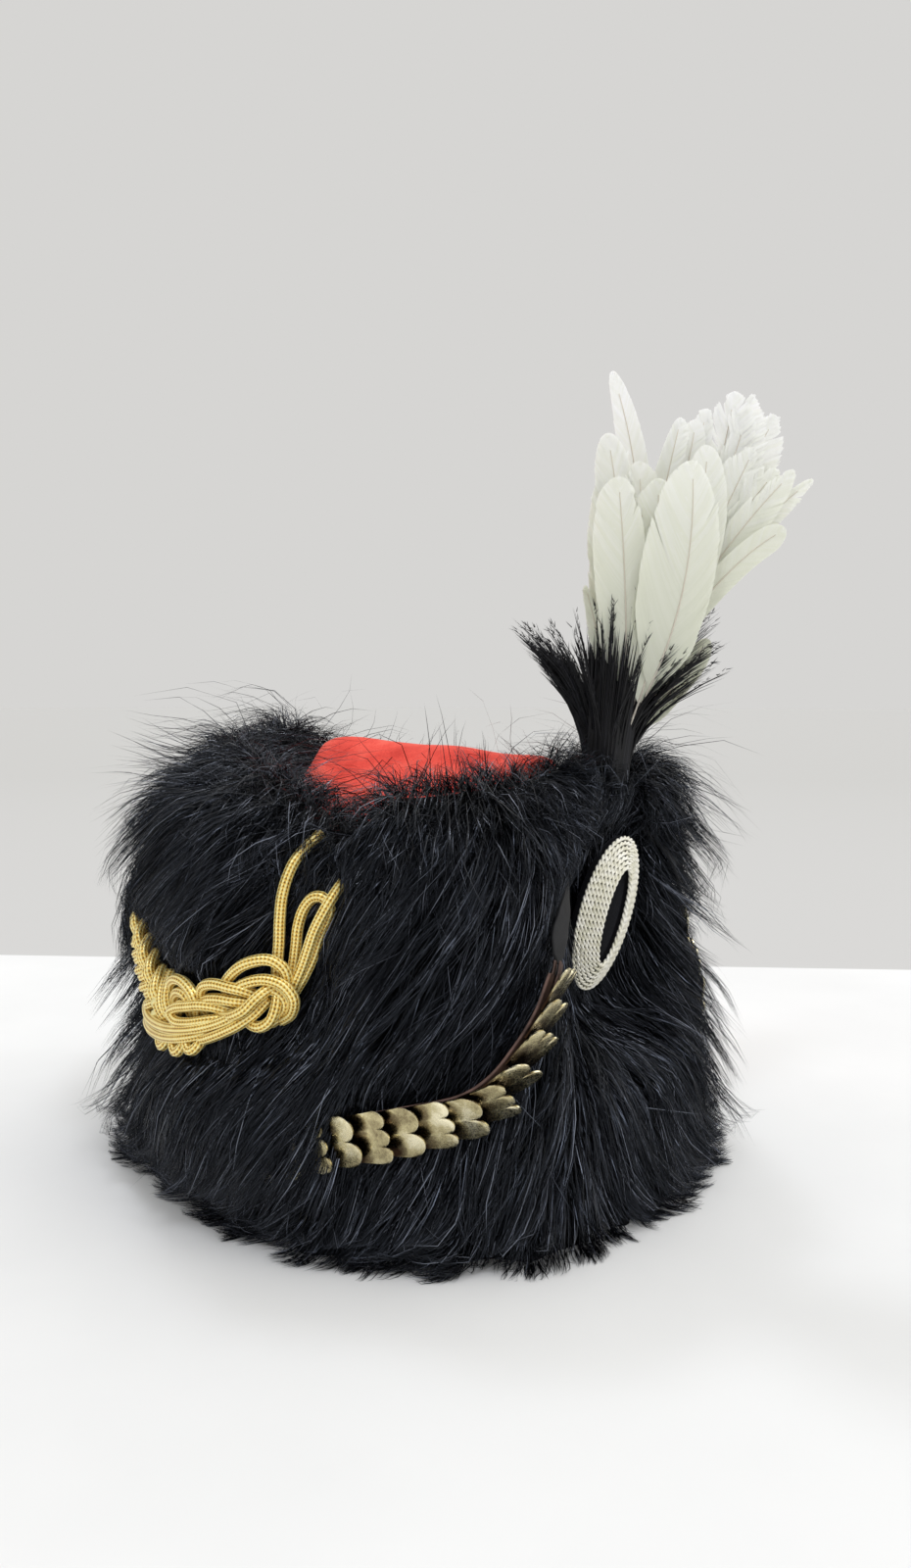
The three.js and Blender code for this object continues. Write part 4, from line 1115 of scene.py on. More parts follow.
def closed_sheet(top, thick):
    """Closed shell of a grid of points: the grid, a copy of it moved in by its thickness, and a
    wall round the border. The outer side is the one the product row way x column way points to."""
    rows, columns = top.shape[:2]
    inward = unit(np.cross(np.gradient(top, axis=0), np.gradient(top, axis=1)))
    points = np.concatenate([top.reshape(-1, 3), (top - inward * thick).reshape(-1, 3)])
    number = np.arange(rows * columns).reshape(rows, columns)
    upper = grid_faces(rows, columns)
    under = upper[:, ::-1] + rows * columns
    ring = np.concatenate([number[0], number[1:, -1], number[-1, -2::-1], number[-2:0:-1, 0]])
    after = np.roll(ring, -1)
    wall = joined(ring, after, after + rows * columns, ring + rows * columns)
    return points, [upper, under, wall], np.tile(grid_uv(rows, columns), (2, 1))


def scale_outline(lobes):
    """Places across a plate (-1 to 1), how far it reaches there, and how near the middle of its
    lobe that is: each lobe is half an ellipse, walked by angle."""
    angle = np.radians(np.linspace(-90, 90, LOBE_STEPS[lobes] + 1))
    middles = -1 + (2 * np.arange(lobes) + 1) / lobes
    side = (middles[:, None] + np.sin(angle) / lobes)[:, :-1].ravel()
    bulge = np.tile(np.cos(angle)[:-1], lobes)
    side, bulge = np.append(side, 1.0), np.append(bulge, 0.0)
    radius = SCALE_WIDTH / 2 / lobes
    return side, SCALE_LENGTH - 1.5 * side ** 2 - LOBE_DEPTH * radius * (1 - bulge), bulge


def scale_plate(origin, way, out, across, lobes, tilt, rock):
    """Grid of one plate's upper face. A point is the root, plus its place across times half the
    width, plus its reach times the tilted way, plus the dome: a broad one and one for each lobe."""
    side, reach, bulge = scale_outline(lobes)
    tilt, rock = math.radians(tilt), math.radians(rock)
    lifted = out * math.cos(tilt) - way * math.sin(tilt)
    forward = way * math.cos(tilt) + out * math.sin(tilt)
    across, lifted = (across * math.cos(rock) + lifted * math.sin(rock),
                      lifted * math.cos(rock) - across * math.sin(rock))
    part = np.array([0, 0.3, 0.5, 0.65, 0.78, 0.88, 0.95, 0.985, 1.0])[:, None]
    wide = 0.5 * SCALE_WIDTH * (SCALE_ROOT + (1 - SCALE_ROOT) * part)
    dome = SCALE_DOME * (1 - side ** 2) * (0.4 + 0.6 * part) + 0.3 * bulge * part ** 3
    dome = dome - 0.25 * ease(part, 0.93, 1.0)
    base = origin + out * (LEATHER_THICK / 2 + SCALE_THICK + SCALE_CLEAR)
    return (base + (wide * side)[..., None] * across + (part * reach)[..., None] * forward
            + dome[..., None] * lifted)


def stamped_brass():
    """Stamped sheet brass, once polished and long since dulled: pale greenish gold on the faces, each plate
    a little lighter or darker, rubbed bright along the rim and given a painted highlight there, and painted
    shade, dark brown, where a plate goes under the last one. Fine scratches run along it."""
    made, tree = new_material("worn_stamped_brass", Metallic=1.0)
    place_on = object_place(tree)
    v = own_uv(tree)["Y"]
    blotch = noise(tree, place_on, 75.0, 6.0, Roughness=0.6)
    speckle = noise(tree, place_on, 900.0, 3.0)
    # Painted shade: the root of each plate, which lies under the lobes of the plate below it, is darkened to
    # brown.
    hidden = remap(tree, v, 0.1, 0.36, -0.5, 0.0)
    # Partly rubbed brass, partly a painted highlight: the rolled rim is lightened.
    rim = remap(tree, v, 0.93, 0.99, 0.0, 0.25)
    # Speckled wear, the painted shade at the root and the painted highlight on the rim, added up.
    wear_shade_and_highlight = calculate(tree, "MULTIPLY_ADD", speckle, 0.2, calculate(tree, "ADD", hidden, rim))
    tone = ramp(tree, calculate(tree, "ADD", blotch, wear_shade_and_highlight),
                [(0.1, "38281c"), (0.4, "85785a"), (0.58, "cbbf94"), (0.76, "fff6d4")])
    paint(tree, tone)
    tree.links.new(remap(tree, speckle, 0.3, 0.7, 0.17, 0.33), principled(tree).inputs["Roughness"])
    drawn_out = add(tree, "Mapping", {
        "Vector": place_on, "Rotation": (0.3, 0.5, 0.6), "Scale": (300, 300, 3000)})
    bumps(tree, noise(tree, drawn_out, 1.0, 3.0), 0.2, 0.0003)
    return made


def chin_scales(side, rows, seed):
    """All the plates of one side, from the strap's lower end upwards."""
    path, way, out, across = frames_on_fur(rows, 0.5)
    length = path_length(path)
    vary = np.random.default_rng(seed)
    for index in range(SCALE_COUNT):
        at = min((FIRST_SCALE + index * SCALE_PITCH) / length, 1.0) * (len(path) - 1)
        k = round(at)
        plate = scale_plate(path[k], way[k], out[k], across[k], 3 if index % 2 else 2,
                            SCALE_TILT + vary.normal(0, 1.5), vary.normal(0, 2.5))
        number = f"{side}_{index + 1:02d}"
        build(f"brass_scale_{number}", *closed_sheet(plate[:, ::-1], SCALE_THICK), BRASS, "brass",
              replaces=(f"chin_scale_{number}",), sharp_above=50)


BRASS = stamped_brass()
chin_scales("right", CHIN_RIGHT, 11)
chin_scales("left", CHIN_LEFT, 12)

# %% [markdown]
# ## Gold cord
#
# The festoon is one kind of cord throughout: a round braid of gold thread about 5 mm thick, whose
# eight columns of stitches stand up as ridges with darker furrows between them. The section is
# modelled with those ridges. The V-shaped stitches on them follow the cord's own UV, where U goes
# once round and V counts millimetres.

# %% Gold braid
CORD_RADIUS = 2.6
CORD_RIDGES = 8
CORD_STEP = 1.6
STITCH = 1.7  # real stitches are about 1 mm; a little coarser, so that they show


def gold_braid():
    """Braided gold thread on a yellow core: metallic ridges with a painted highlight on their tops, painted
    shade in dark brown in the furrows, and V-shaped stitches.
    """
    made, tree = new_material("braided_gold_thread", Metallic=0.35, Roughness=0.3)
    uv = own_uv(tree)
    within = calculate(tree, "FRACT", calculate(tree, "MULTIPLY", uv["X"], float(CORD_RIDGES)))
    ridge = calculate(tree, "ABSOLUTE", calculate(tree, "SUBTRACT", within, 0.5))
    stitches = calculate(tree, "MULTIPLY_ADD", uv["Y"], 1 / STITCH, ridge)
    wave = calculate(tree, "SINE", calculate(tree, "MULTIPLY", stitches, 2 * math.pi))
    height = calculate(tree, "MULTIPLY_ADD", wave, 0.11, ridge)
    uneven = noise(tree, object_place(tree), 260.0, 2.0)
    # The ramp paints the low parts of the height dark brown as painted shade in the furrows, and the high
    # parts pale yellow as a painted highlight on the ridges.
    tint = ramp(tree, calculate(tree, "MULTIPLY_ADD", uneven, 0.22, height),
                [(0.06, "64461a"), (0.2, "cfa244"), (0.36, "fad76c"), (0.5, "fff4b0")])
    paint(tree, tint)
    bumps(tree, height, 0.5, 0.0008)
    return made


def cord_body(path):
    """Sweep of the ridged section along a path: its radius is an eighth larger on each ridge."""
    way, out = way_and_out(path)
    angle = round_angles(2 * CORD_RIDGES)
    size = CORD_RADIUS * (0.94 + 0.06 * np.cos(CORD_RIDGES * angle))
    section = joined(size * np.cos(angle), size * np.sin(angle))
    return sweep(path, np.cross(way, out), out, section)


def cords(name, paths, replaces):
    """Several cords joined in one piece."""
    return build(name, *merged(map(cord_body, paths)), GOLD, "gold_cord", replaces=replaces)


GOLD = gold_braid()

# %% [markdown]
# ## The festoon's loops
#
# On the wearer's right the cord is tied in big open loops that cross over and under each other.
# Each route is a short list of (turn, height, how far off the fur), chosen so that a cord that
# passes over another one stands a cord's thickness further out there, and so that each end dives
# below its neighbours.

# %% Loops on the right
KNOT_LOOPS = [
    [(-88, 103, 4), (-90, 109, 7), (-87.5, 117, 10), (-84, 122.5, 13), (-80.5, 124, 14.5),
     (-78.3, 120, 13), (-78.5, 112, 8), (-80.5, 105, 4)],
    [(-88.5, 100, 4), (-88, 108, 7), (-84.5, 113.5, 11), (-81, 115.5, 13.5), (-78, 113.5, 14),
     (-76.3, 108, 12), (-77.3, 101, 8), (-80, 96.5, 4.5)],
    [(-84, 107, 5), (-81.5, 110.5, 9), (-79.3, 109, 9.5), (-78.3, 105, 8.5), (-79.3, 100, 6),
     (-82, 95, 4)],
    [(-82, 104, 4.5), (-83.5, 107.5, 8), (-85, 109.5, 10), (-87.5, 110.8, 11.5), (-91, 111.3, 11.5),
     (-94, 108.5, 10), (-95.2, 103, 7.5), (-93, 98, 4)],
    [(-83.5, 103.5, 6), (-87, 104.5, 9.5), (-90, 104.8, 10.5), (-93, 103.3, 9.5), (-95.5, 99.5, 6.5),
     (-95, 95, 4)],
    [(-79.5, 114, 6), (-81, 111.5, 11), (-82.3, 107.5, 14.5), (-83.7, 103, 15), (-85.8, 99.8, 13.5),
     (-88.5, 97.5, 10), (-92, 96, 6)],
    [(-81.2, 113, 4.5), (-79.9, 108, 9), (-79.8, 102.5, 10.5), (-80.6, 97.5, 10.5), (-82.5, 94.5, 9.5),
     (-85, 95.3, 7), (-87.5, 99, 4.5)],
    [(-81.8, 106, 7), (-83.3, 100.5, 10), (-85.5, 95.8, 11), (-88.2, 91.8, 10.5), (-91.3, 88, 10),
     (-94.3, 85.3, 8.5), (-96.8, 86.5, 6), (-97, 91, 4)],
    [(-84.5, 99.5, 5), (-87, 95.5, 7.5), (-90, 92, 7.5), (-92.5, 90.3, 6), (-95, 91, 4)],
]
PLAIT_LOOPS = [
    [(-88, 98, 4.5), (-90.5, 100.3, 8.5), (-93.5, 100.8, 11), (-97, 99, 11.5), (-100, 97, 12),
     (-101.9, 94, 12), (-100, 91, 12), (-96.5, 91.7, 11.5), (-92.5, 94.3, 10.5), (-89.5, 96, 7),
     (-87.5, 98, 4)],
    [(-117.5, 93, 4.5), (-118.8, 88, 8), (-115, 85, 10.5), (-109, 84.6, 11.5), (-102, 86.2, 11.5),
     (-95.5, 89.6, 11.5), (-91, 93.2, 11), (-87, 98, 11.5), (-84.3, 102.5, 10), (-83, 107, 7)],
    [(-116.5, 84, 4), (-119, 80.5, 7), (-115, 79.2, 9.5), (-109.5, 79.6, 10.5), (-103.5, 81.3, 10.5),
     (-98, 84.4, 10.5), (-93.8, 87.8, 8.5), (-91, 92, 5)],
    [(-112, 106, 4.5), (-110.3, 101.5, 8), (-108.8, 96, 10), (-107.2, 90.5, 9.5), (-105.8, 85, 5)],
    [(-109, 107.5, 4.5), (-107, 102.5, 8.5), (-105.9, 96.5, 10), (-105, 91, 8.5), (-104, 86, 5)],
    [(-115, 103.5, 4.5), (-113.3, 98.5, 8), (-111.5, 93, 9.5), (-109, 88, 8.5), (-107, 84, 5)],
    [(-105, 94, 4), (-106.3, 99.5, 6.5), (-104.8, 105, 9), (-101.8, 108.7, 10), (-98.7, 108.4, 10.3),
     (-96.5, 104.3, 10), (-96, 98.8, 8.5), (-97, 93, 5)],
    [(-105.2, 93, 5), (-103.8, 99, 8), (-101.2, 103, 9.3), (-98.7, 102.8, 9.6), (-97.7, 98.5, 8),
     (-98.2, 93, 4.5)],
    [(-103.3, 92, 6), (-102, 96, 7.5), (-100.3, 97.8, 8), (-99.3, 95.5, 6.5), (-99.5, 92, 4)],
    [(-110, 85, 5), (-108.9, 79, 8.5), (-107, 75.4, 9.5), (-105.2, 77.3, 9), (-104.6, 84, 5.5)],
    [(-103, 87, 5.5), (-102.2, 80.5, 9), (-100.7, 76.6, 9.7), (-99.1, 78.8, 9.3), (-98.9, 86, 6)],
    [(-98.3, 89, 5.5), (-98, 83, 8.8), (-96.6, 79.4, 9.5), (-94.9, 81.8, 9), (-94.6, 88.5, 5.5)],
]


cords("festoon_loops", [route_on_fur(rows, CORD_STEP) for rows in KNOT_LOOPS], ("festoon_knot_right",))

# %% [markdown]
# ## The plait
#
# Further back the doubled cord is plaited in three. In a three-strand plait each strand swings
# from side to side as a sine, a third of a turn after the last one, and rises and falls twice as
# often, so it goes over one neighbour and under the next.

# %% Plait to the back
PLAIT_ROUTE = [
    (-110, 93), (-114, 97), (-123, 108), (-133, 120), (-145, 132), (-160, 141), (-173, 146), (-178, 149),
]
PLAIT_SWING = 8.0
PLAIT_RISE = 3.3
PLAIT_CYCLE = 40.0  # millimetres of the route in which a strand swings over and back
PLAIT_OFF = 8.0


def doubled(middle, out, apart):
    """Two cords side by side along a middle line, "apart" cords from each other."""
    beside = unit(np.cross(unit(np.gradient(middle, axis=0)), out))
    return [middle + beside * CORD_RADIUS * pair for pair in (-apart, apart)]


def plait_strands():
    """Two cords for each of three strands. The swing is PLAIT_SWING * sin(t) across the route and
    the rise PLAIT_RISE * sin(2t) out of the fur; the pair lies a cord's radius to each side."""
    path, way, out, across = frames_on_fur([(turn, z, PLAIT_OFF, 0) for turn, z in PLAIT_ROUTE], CORD_STEP)
    along = np.linspace(0, path_length(path), len(path)) * 2 * np.pi / PLAIT_CYCLE
    ends = 1 - 0.55 * (1 - ease(along, 0, 1.5)) - 0.45 * ease(along, along[-1] - 1.5, along[-1])
    strands = []
    for strand in range(3):
        phase = along + strand * 2 * np.pi / 3
        swing = (PLAIT_SWING * ends * np.sin(phase))[:, None]
        rise = (PLAIT_RISE * np.sin(2 * phase))[:, None]
        strands += doubled(path + across * swing + out * rise, out, 1.0)
    return strands


plait_loops = [route_on_fur(rows, CORD_STEP) for rows in PLAIT_LOOPS]
cords("festoon_plait_loops", plait_loops + plait_strands(), ("festoon_plait",))

# %% [markdown]
# ## Knot at the back and rising cords
#
# At the back the doubled cord is tied in a flat three-lobed knot. From both knots cords rise and
# go into the fur below the rim; on the right one of them is a turned-back bight with a loose tail.

# %% Back knot and risers
BACK_KNOT = {"turn": -178.5, "z": 154, "off": 8.5, "wide": 3.2, "tall": 3.8, "rise": 3.4}
RISERS_UP = {
    "cord_riser_right": [
        (-80.9, 106, 3.5), (-81.1, 114, 5.5), (-81.1, 122, 6), (-81, 130, 6), (-80.9, 140, 6),
        (-80.7, 150, 6), (-80.1, 158, 5.4), (-79.2, 165, 4.2), (-78.1, 170.5, 1.8), (-77.4, 173.5, -1.5),
        (-77, 175.5, -5.5)],
    "cord_bight_right": [
        (-80, 106, 4), (-78.6, 118, 5), (-78.2, 128, 5), (-77.8, 137, 5), (-76.8, 145, 5),
        (-75, 149.8, 5), (-72.8, 150, 5), (-71.5, 145.5, 4.5), (-72.3, 140, 4.2), (-73.4, 134, 4.2),
        (-74.6, 125, 5), (-76.2, 116, 5.5), (-78, 109, 4)],
    "cord_tail_right": [
        (-78.6, 107, 5), (-77.3, 113, 8), (-75.8, 121, 9.5), (-74.6, 129, 10), (-73.4, 137, 10.2),
        (-72, 144, 10), (-71, 149, 8.5), (-70.3, 153, 5), (-69.8, 156, 1), (-69.5, 158, -4)],
    "cord_riser_back": [
        (-178, 158, 5), (-177.5, 168, 4.4), (-177, 178, 4), (-176, 188, 3.6), (-175, 196, 1.5),
        (-174.8, 200, -2), (-174.7, 202, -6)],
}


def back_knot():
    """Trefoil: across sin t + 2 sin 2t, up cos t - 2 cos 2t, out -sin 3t, doubled side by side."""
    angle = np.linspace(0, 2 * np.pi, 120)[:, None]
    centre = on_fur(BACK_KNOT["turn"], BACK_KNOT["z"], BACK_KNOT["off"])
    out = away(BACK_KNOT["turn"])
    level = np.cross(UP, out)
    middle = (centre + BACK_KNOT["wide"] * level * (np.sin(angle) + 2 * np.sin(2 * angle))
              + BACK_KNOT["tall"] * UP * (np.cos(angle) - 2 * np.cos(2 * angle))
              - BACK_KNOT["rise"] * out * np.sin(3 * angle))
    return doubled(middle, out, 0.95)


cords("festoon_back_knot", back_knot(), ("festoon_knot_back",))
for name, rows in RISERS_UP.items():
    path = route_on_fur(rows, CORD_STEP)
    length = path_length(path)
    print(name, "is", round(length), "mm long")
    piece = cords("gold_" + name, [path], (name,))

# %% [markdown]
# ## White plume
#
# Goose feathers stand in a sheaf and fan out ahead of the hat. A feather's vane is made of barbs,
# fine branches that leave the quill at a slant and cling together, so it looks like a sheet until
# it splits. Here a vane is a row of narrow strips, a few barbs each. Each strip starts on the
# quill, bends forward, and ends on the feather's outline; a few groups of them lean apart, which
# makes the splits and the ragged edge. The quill is a thin tapering rod.
#
# The plume has its own frame: "side" is the way it fans out, "face" is the way it faces.

# %% Feathers
PLUME_FOOT = np.array([0.0, -110.0, 203.0])
PLUME_SIDE = np.array([0.616, -0.788, 0.0])
PLUME_FACE = np.array([-0.788, -0.616, 0.0])

# A feather's spine as (side, face, up) from the plume's foot at its start, its middle and its tip,
# then its width, the part of its length in which the tip closes, how ragged it is, how far it turns
# from facing ahead, and how much wider its left half is. The first eight stand in front as a sheaf
# and the next ten fan out behind them. The last ones fill the foot, the back and the gaps.
WHITE_FEATHERS = [
    [(5, -8, 24), (17, -8, 105), (3, -6, 184), 14, 0.32, 0.25, 12, 0.0],
    [(1, 2, 20), (1, 3, 81), (-1, 4, 134), 20, 0.3, 0.5, -6, 0.0],
    [(3, 0, 24), (6, 4, 92), (-1, 6, 153), 21, 0.22, 0.6, -14, 0.0],
    [(8, 9, 22), (6, 17, 78), (2, 19, 131), 24, 0.3, 0.45, -10, 0.1],
    [(10, 8, 22), (18, 14, 76), (21, 15, 131), 30, 0.34, 0.45, -4, 0.0],
    [(10, 9, 20), (22, 15, 66), (27, 15, 118), 30, 0.36, 0.5, 6, 0.0],
    [(12, 9, 24), (31, 19, 78), (35, 20, 138), 37, 0.42, 0.4, 4, 0.12],
    [(12, 6, 24), (35, 12, 88), (44, 10, 147), 26, 0.34, 0.2, 10, 0.0],
    [(6, -4, 24), (22, 0, 107), (34, 0, 162), 17, 0.3, 1.5, -10, 0.05],
    [(8, -6, 24), (30, -4, 105), (42, -4, 162), 17, 0.3, 1.3, 10, 0.0],
    [(8, -8, 24), (33, -8, 108), (48, -8, 168), 18, 0.25, 1.2, 0, 0.0],
    [(10, -8, 24), (44, -10, 106), (61, -8, 176), 24, 0.14, 1.5, 0, 0.0],
    [(10, -6, 24), (45, -6, 102), (70, -10, 175), 22, 0.16, 1.5, 8, 0.0],
    [(10, -10, 24), (50, -12, 106), (82, -12, 166), 24, 0.18, 1.4, 14, 0.0],
    [(10, -4, 24), (44, -2, 96), (69, -2, 149), 26, 0.3, 1.1, 6, 0.0],
    [(10, 0, 24), (42, 0, 87), (80, -2, 139), 20, 0.25, 1.0, -6, 0.06],
    [(10, 2, 24), (45, 2, 87), (87, 0, 138), 18, 0.35, 0.8, 0, -0.1],
    [(10, -4, 24), (48, -4, 86), (97, -4, 135), 9, 0.3, 1.2, 0, 0.0],
    [(9, 4, 24), (46, 6, 80), (81, 8, 110), 12, 0.14, 0.1, 0, 0.0],
    [(4, -14, 24), (14, -24, 90), (22, -30, 140), 24, 0.3, 0.4, -10, 0.0],
    [(8, -12, 24), (36, -26, 84), (56, -34, 130), 26, 0.3, 0.4, 10, 0.0],
    [(12, -4, 12), (32, -6, 36), (50, -8, 60), 13, 0.3, 0.3, -20, 0.0],
    [(8, 2, 22), (15, 7, 80), (13, 8, 140), 28, 0.35, 0.6, -4, 0.0],
    [(2, 4, 30), (-5, 6, 62), (-11, 8, 84), 9, 0.4, 2.0, -10, 0.0],
    [(4, 6, 30), (-2, 8, 66), (-5, 10, 94), 10, 0.4, 2.0, 0, 0.0],
]
QUILL_PART = 0.12  # bare quill before the vane starts
BARB_SPACING = 1.15
BARB_SLANT = 30  # degrees between a barb and the quill
BARB_STOPS = np.array([0, 0.25, 0.5, 0.75, 0.93, 1.0])
BARB_TAPER = np.array([1.0, 1.0, 0.97, 0.9, 0.66, 0.0])
SHINGLE = 0.7  # degrees that each strip turns over the next
QUILL_UV = (0.5, -1.0)  # marks the quill for the material


def in_plume(places):
    """Points from (side, face, up) places."""
    return PLUME_FOOT + places @ np.stack([PLUME_SIDE, PLUME_FACE, UP])


def curve_through(start, middle, tip, part):
    """Parabola that passes its middle point half way: 2(1-t)(0.5-t)a + 4t(1-t)b + 2t(t-0.5)c."""
    t = part[..., None]
    return 2 * (1 - t) * (0.5 - t) * start + 4 * t * (1 - t) * middle + 2 * t * (t - 0.5) * tip


def outline(place, tip_share):
    """Half width of the vane along the feather as a part of the full one: it opens over a quarter
    of the length, swells to two thirds of the way, and closes in a quarter of an ellipse."""
    opening = ease(place, QUILL_PART, QUILL_PART + 0.22) ** 0.6
    body = 0.8 + 0.2 * ease(place, 0.2, 0.66)
    closing = np.sqrt(1 - np.clip((place - 1 + tip_share) / tip_share, 0, 1) ** 2)
    return opening * body * closing


def vane(draw, spine, out, half_width, tip_share, ragged, side):
    """Strips of one half of a vane. A strip leaves the quill at its start and ends on the outline
    at the place e where e - half width * cot(slant) / length is that start. Between them it bows
    forward. Groups of strips turn a little apart where the vane is ragged."""
    length = path_length(spine(np.linspace(0, 1, 40)))
    grid = np.linspace(0, 1, 400)
    edge = half_width * outline(grid, tip_share)
    leaves = np.maximum.accumulate(grid - edge / math.tan(math.radians(BARB_SLANT)) / length)
    count = int(length * (1 - QUILL_PART) / BARB_SPACING)
    start = QUILL_PART + (1 - QUILL_PART) * (np.arange(count) + 0.5) / count
    end = np.interp(start, leaves, grid)
    sideways = np.interp(end, grid, edge) + 0.25
    ahead = (end - start) * length + 1.0
    groups = np.cumsum(draw.random(count) < 0.075)
    apart = draw.normal(0, 0.11, groups[-1] + 1)[groups] * ragged * ease(start, 0.15, 0.8)
    shorter = 0.07 * np.abs(draw.normal(0, 1, groups[-1] + 1))[groups] + 0.05 * draw.random(count)
    uneven = 1 - ragged * shorter
    stops = BARB_STOPS
    forward = (ahead * uneven)[:, None] * (0.8 * stops + 0.2 * stops ** 2)
    across_by = (sideways * uneven)[:, None] * (1.2 * stops - 0.2 * stops ** 2)
    c, s = np.cos(apart)[:, None], np.sin(apart)[:, None]
    forward, across_by = forward * c + across_by * s, across_by * c - forward * s
    at = start[:, None] + forward / length
    way = unit(spine(at + 0.01) - spine(at - 0.01))
    across = unit(np.cross(way, out))
    lift = np.cross(across, way)
    hollow = 0.008 * across_by ** 2
    flutter = draw.normal(0, 0.06 + 0.45 * ragged, (count, 1)) * stops ** 2
    middle = spine(at) + side * across * across_by[..., None] + lift * (hollow + flutter)[..., None]
    run = unit(np.gradient(middle, axis=1))
    broad = unit(np.cross(run, lift))
    turned = broad * math.cos(math.radians(SHINGLE)) + side * lift * math.sin(math.radians(SHINGLE))
    half = turned * (0.62 * BARB_SPACING * BARB_TAPER)[:, None]
    points, faces = strips(middle, half, flip=side < 0)
    v = np.concatenate([np.repeat(stops[:-1], 2), [1.0]])
    uv = joined(draw.random((count, 1)), v).reshape(-1, 2)
    return points.reshape(-1, 3), faces, uv[np.concatenate([rows.ravel() for rows in faces])]


def feather(name, row, draw, material, slot, **more):
    """One feather: quill and both halves of its vane in one mesh."""
    ends = [in_plume(np.array(place, float)) for place in row[:3]]
    width, tip_share, ragged, turned, wider_left = row[3:]

    def spine(part):
        """Point of the quill at a part of the way along it."""
        return curve_through(*ends, np.asarray(part))

    turn = math.radians(turned)
    out = PLUME_FACE * math.cos(turn) + PLUME_SIDE * math.sin(turn)
    steps = np.linspace(0, 0.94, 24)
    line = spine(steps)
    way = unit(np.gradient(line, axis=0))
    across = unit(np.cross(way, out))
    angle = round_angles(6)
    girth = (0.55 - 0.42 * steps)[:, None]
    section = joined(girth * np.cos(angle), girth * np.sin(angle))
    points, faces, uv = sweep(line + out * 0.2, across, np.cross(across, way), section)
    bodies = [(points, faces, np.tile(QUILL_UV, (len(uv), 1)))]
    for side in (-1, 1):
        half_width = width * (0.5 - side * wider_left)
        bodies.append(vane(draw, spine, out, half_width, tip_share, ragged, side))
    build(name, *merged(bodies), material, slot, **more)


def goose_feather():
    """Bleached goose feather: matt ivory white, with painted shade that makes it greener and darker low down
    and whiter towards the top, each strip hardly lighter or darker than the next, and thin enough that light
    from behind shines through it. The quill keeps a little pink."""
    made, tree = new_material("white_goose_feather", Roughness=0.65, Specular_IOR_Level=0.2)
    uv = own_uv(tree)
    up = add(tree, "SeparateXYZ", {"Vector": object_place(tree)}).outputs["Z"]
    # Painted shade: the plume is tinted greener and darker low down and whiter towards its top, plus a small
    # random tone for each strip.
    strip_tone_and_height_shade = calculate(tree, "MULTIPLY_ADD", uv["X"], 0.2, remap(tree, up, 0.24, 0.37, 0.0, 0.8))
    shade = ramp(tree, strip_tone_and_height_shade, [(0.0, "e9ebdb"), (0.45, "f3f4e8"), (1.0, "ffffff")])
    on_quill = calculate(tree, "LESS_THAN", uv["Y"], -0.5)
    tint = blend(tree, on_quill, shade, colour("ebe4d8"))
    paint(tree, tint)
    through = add(tree, "BsdfTranslucent", {"Color": tint})
    both = add(tree, "MixShader", {"Fac": 0.35, 1: principled(tree), 2: through})
    tree.links.new(both.outputs["Shader"], tree.nodes["Material Output"].inputs["Surface"])
    return made


GOOSE = goose_feather()
draw_feathers = np.random.default_rng(21)
for number, row in enumerate(WHITE_FEATHERS):
    feather(f"white_feather_{number + 1:02d}", row, draw_feathers, GOOSE, "white_feather",
            replaces=("plume_white",) if number == 0 else ())

# %% [markdown]
# ## Black tuft
#
# Round the foot of the white feathers stands a tuft of black ones. Only their stiff barbs show:
# dense and upright round the foot, then flung out to the sides in loose bunches. Each barb is a
# three-sided tapering rod, so it looks the same from all sides.

# %% Black tuft
TUFT_BUNCHES = [
    # tip (side, face, up), how far its fingers spread, how many fingers
    [(-43, 4, 63), 4.0, 5], [(-37, -6, 66), 4.0, 3], [(-36, 8, 54), 4.0, 4], [(-24, 6, 61), 3.5, 3],
    [(-15, 2, 68), 3.0, 3], [(-7, 16, 67), 3.0, 3], [(0, 20, 74), 3.0, 4], [(8, 19, 79), 2.0, 2],
    [(14, 20, 82), 1.5, 2], [(18, 20, 64), 3.0, 3], [(33, 16, 66), 2.0, 3], [(27, 20, 56), 4.0, 4],
    [(49, 4, 69), 2.0, 3], [(56, 0, 70), 2.0, 2], [(54, 4, 58), 2.5, 3], [(48, 8, 49), 3.0, 3],
    [(54, 2, 45), 2.5, 2], [(62, 2, 41), 1.0, 1], [(-20, -34, 60), 6.0, 5], [(0, -44, 58), 6.0, 5],
    [(24, -40, 60), 6.0, 5], [(42, -26, 58), 6.0, 4], [(-34, -22, 62), 6.0, 4], [(8, 34, 46), 4.0, 2],
    [(-16, 28, 50), 4.0, 3], [(36, 26, 48), 4.0, 2],
]
FINGER_BARBS = 7
FINGER_POINTS = 40
BARB_POINTS = 8
CORE_HALF = 10.5
TUFT_LEAN = 0.1  # millimetres to the side for each one up
TUFT_RISE = 8  # how much higher the tips stand than the table says
TUFT_SUNK = 6  # how far the roots stand below the plume's foot


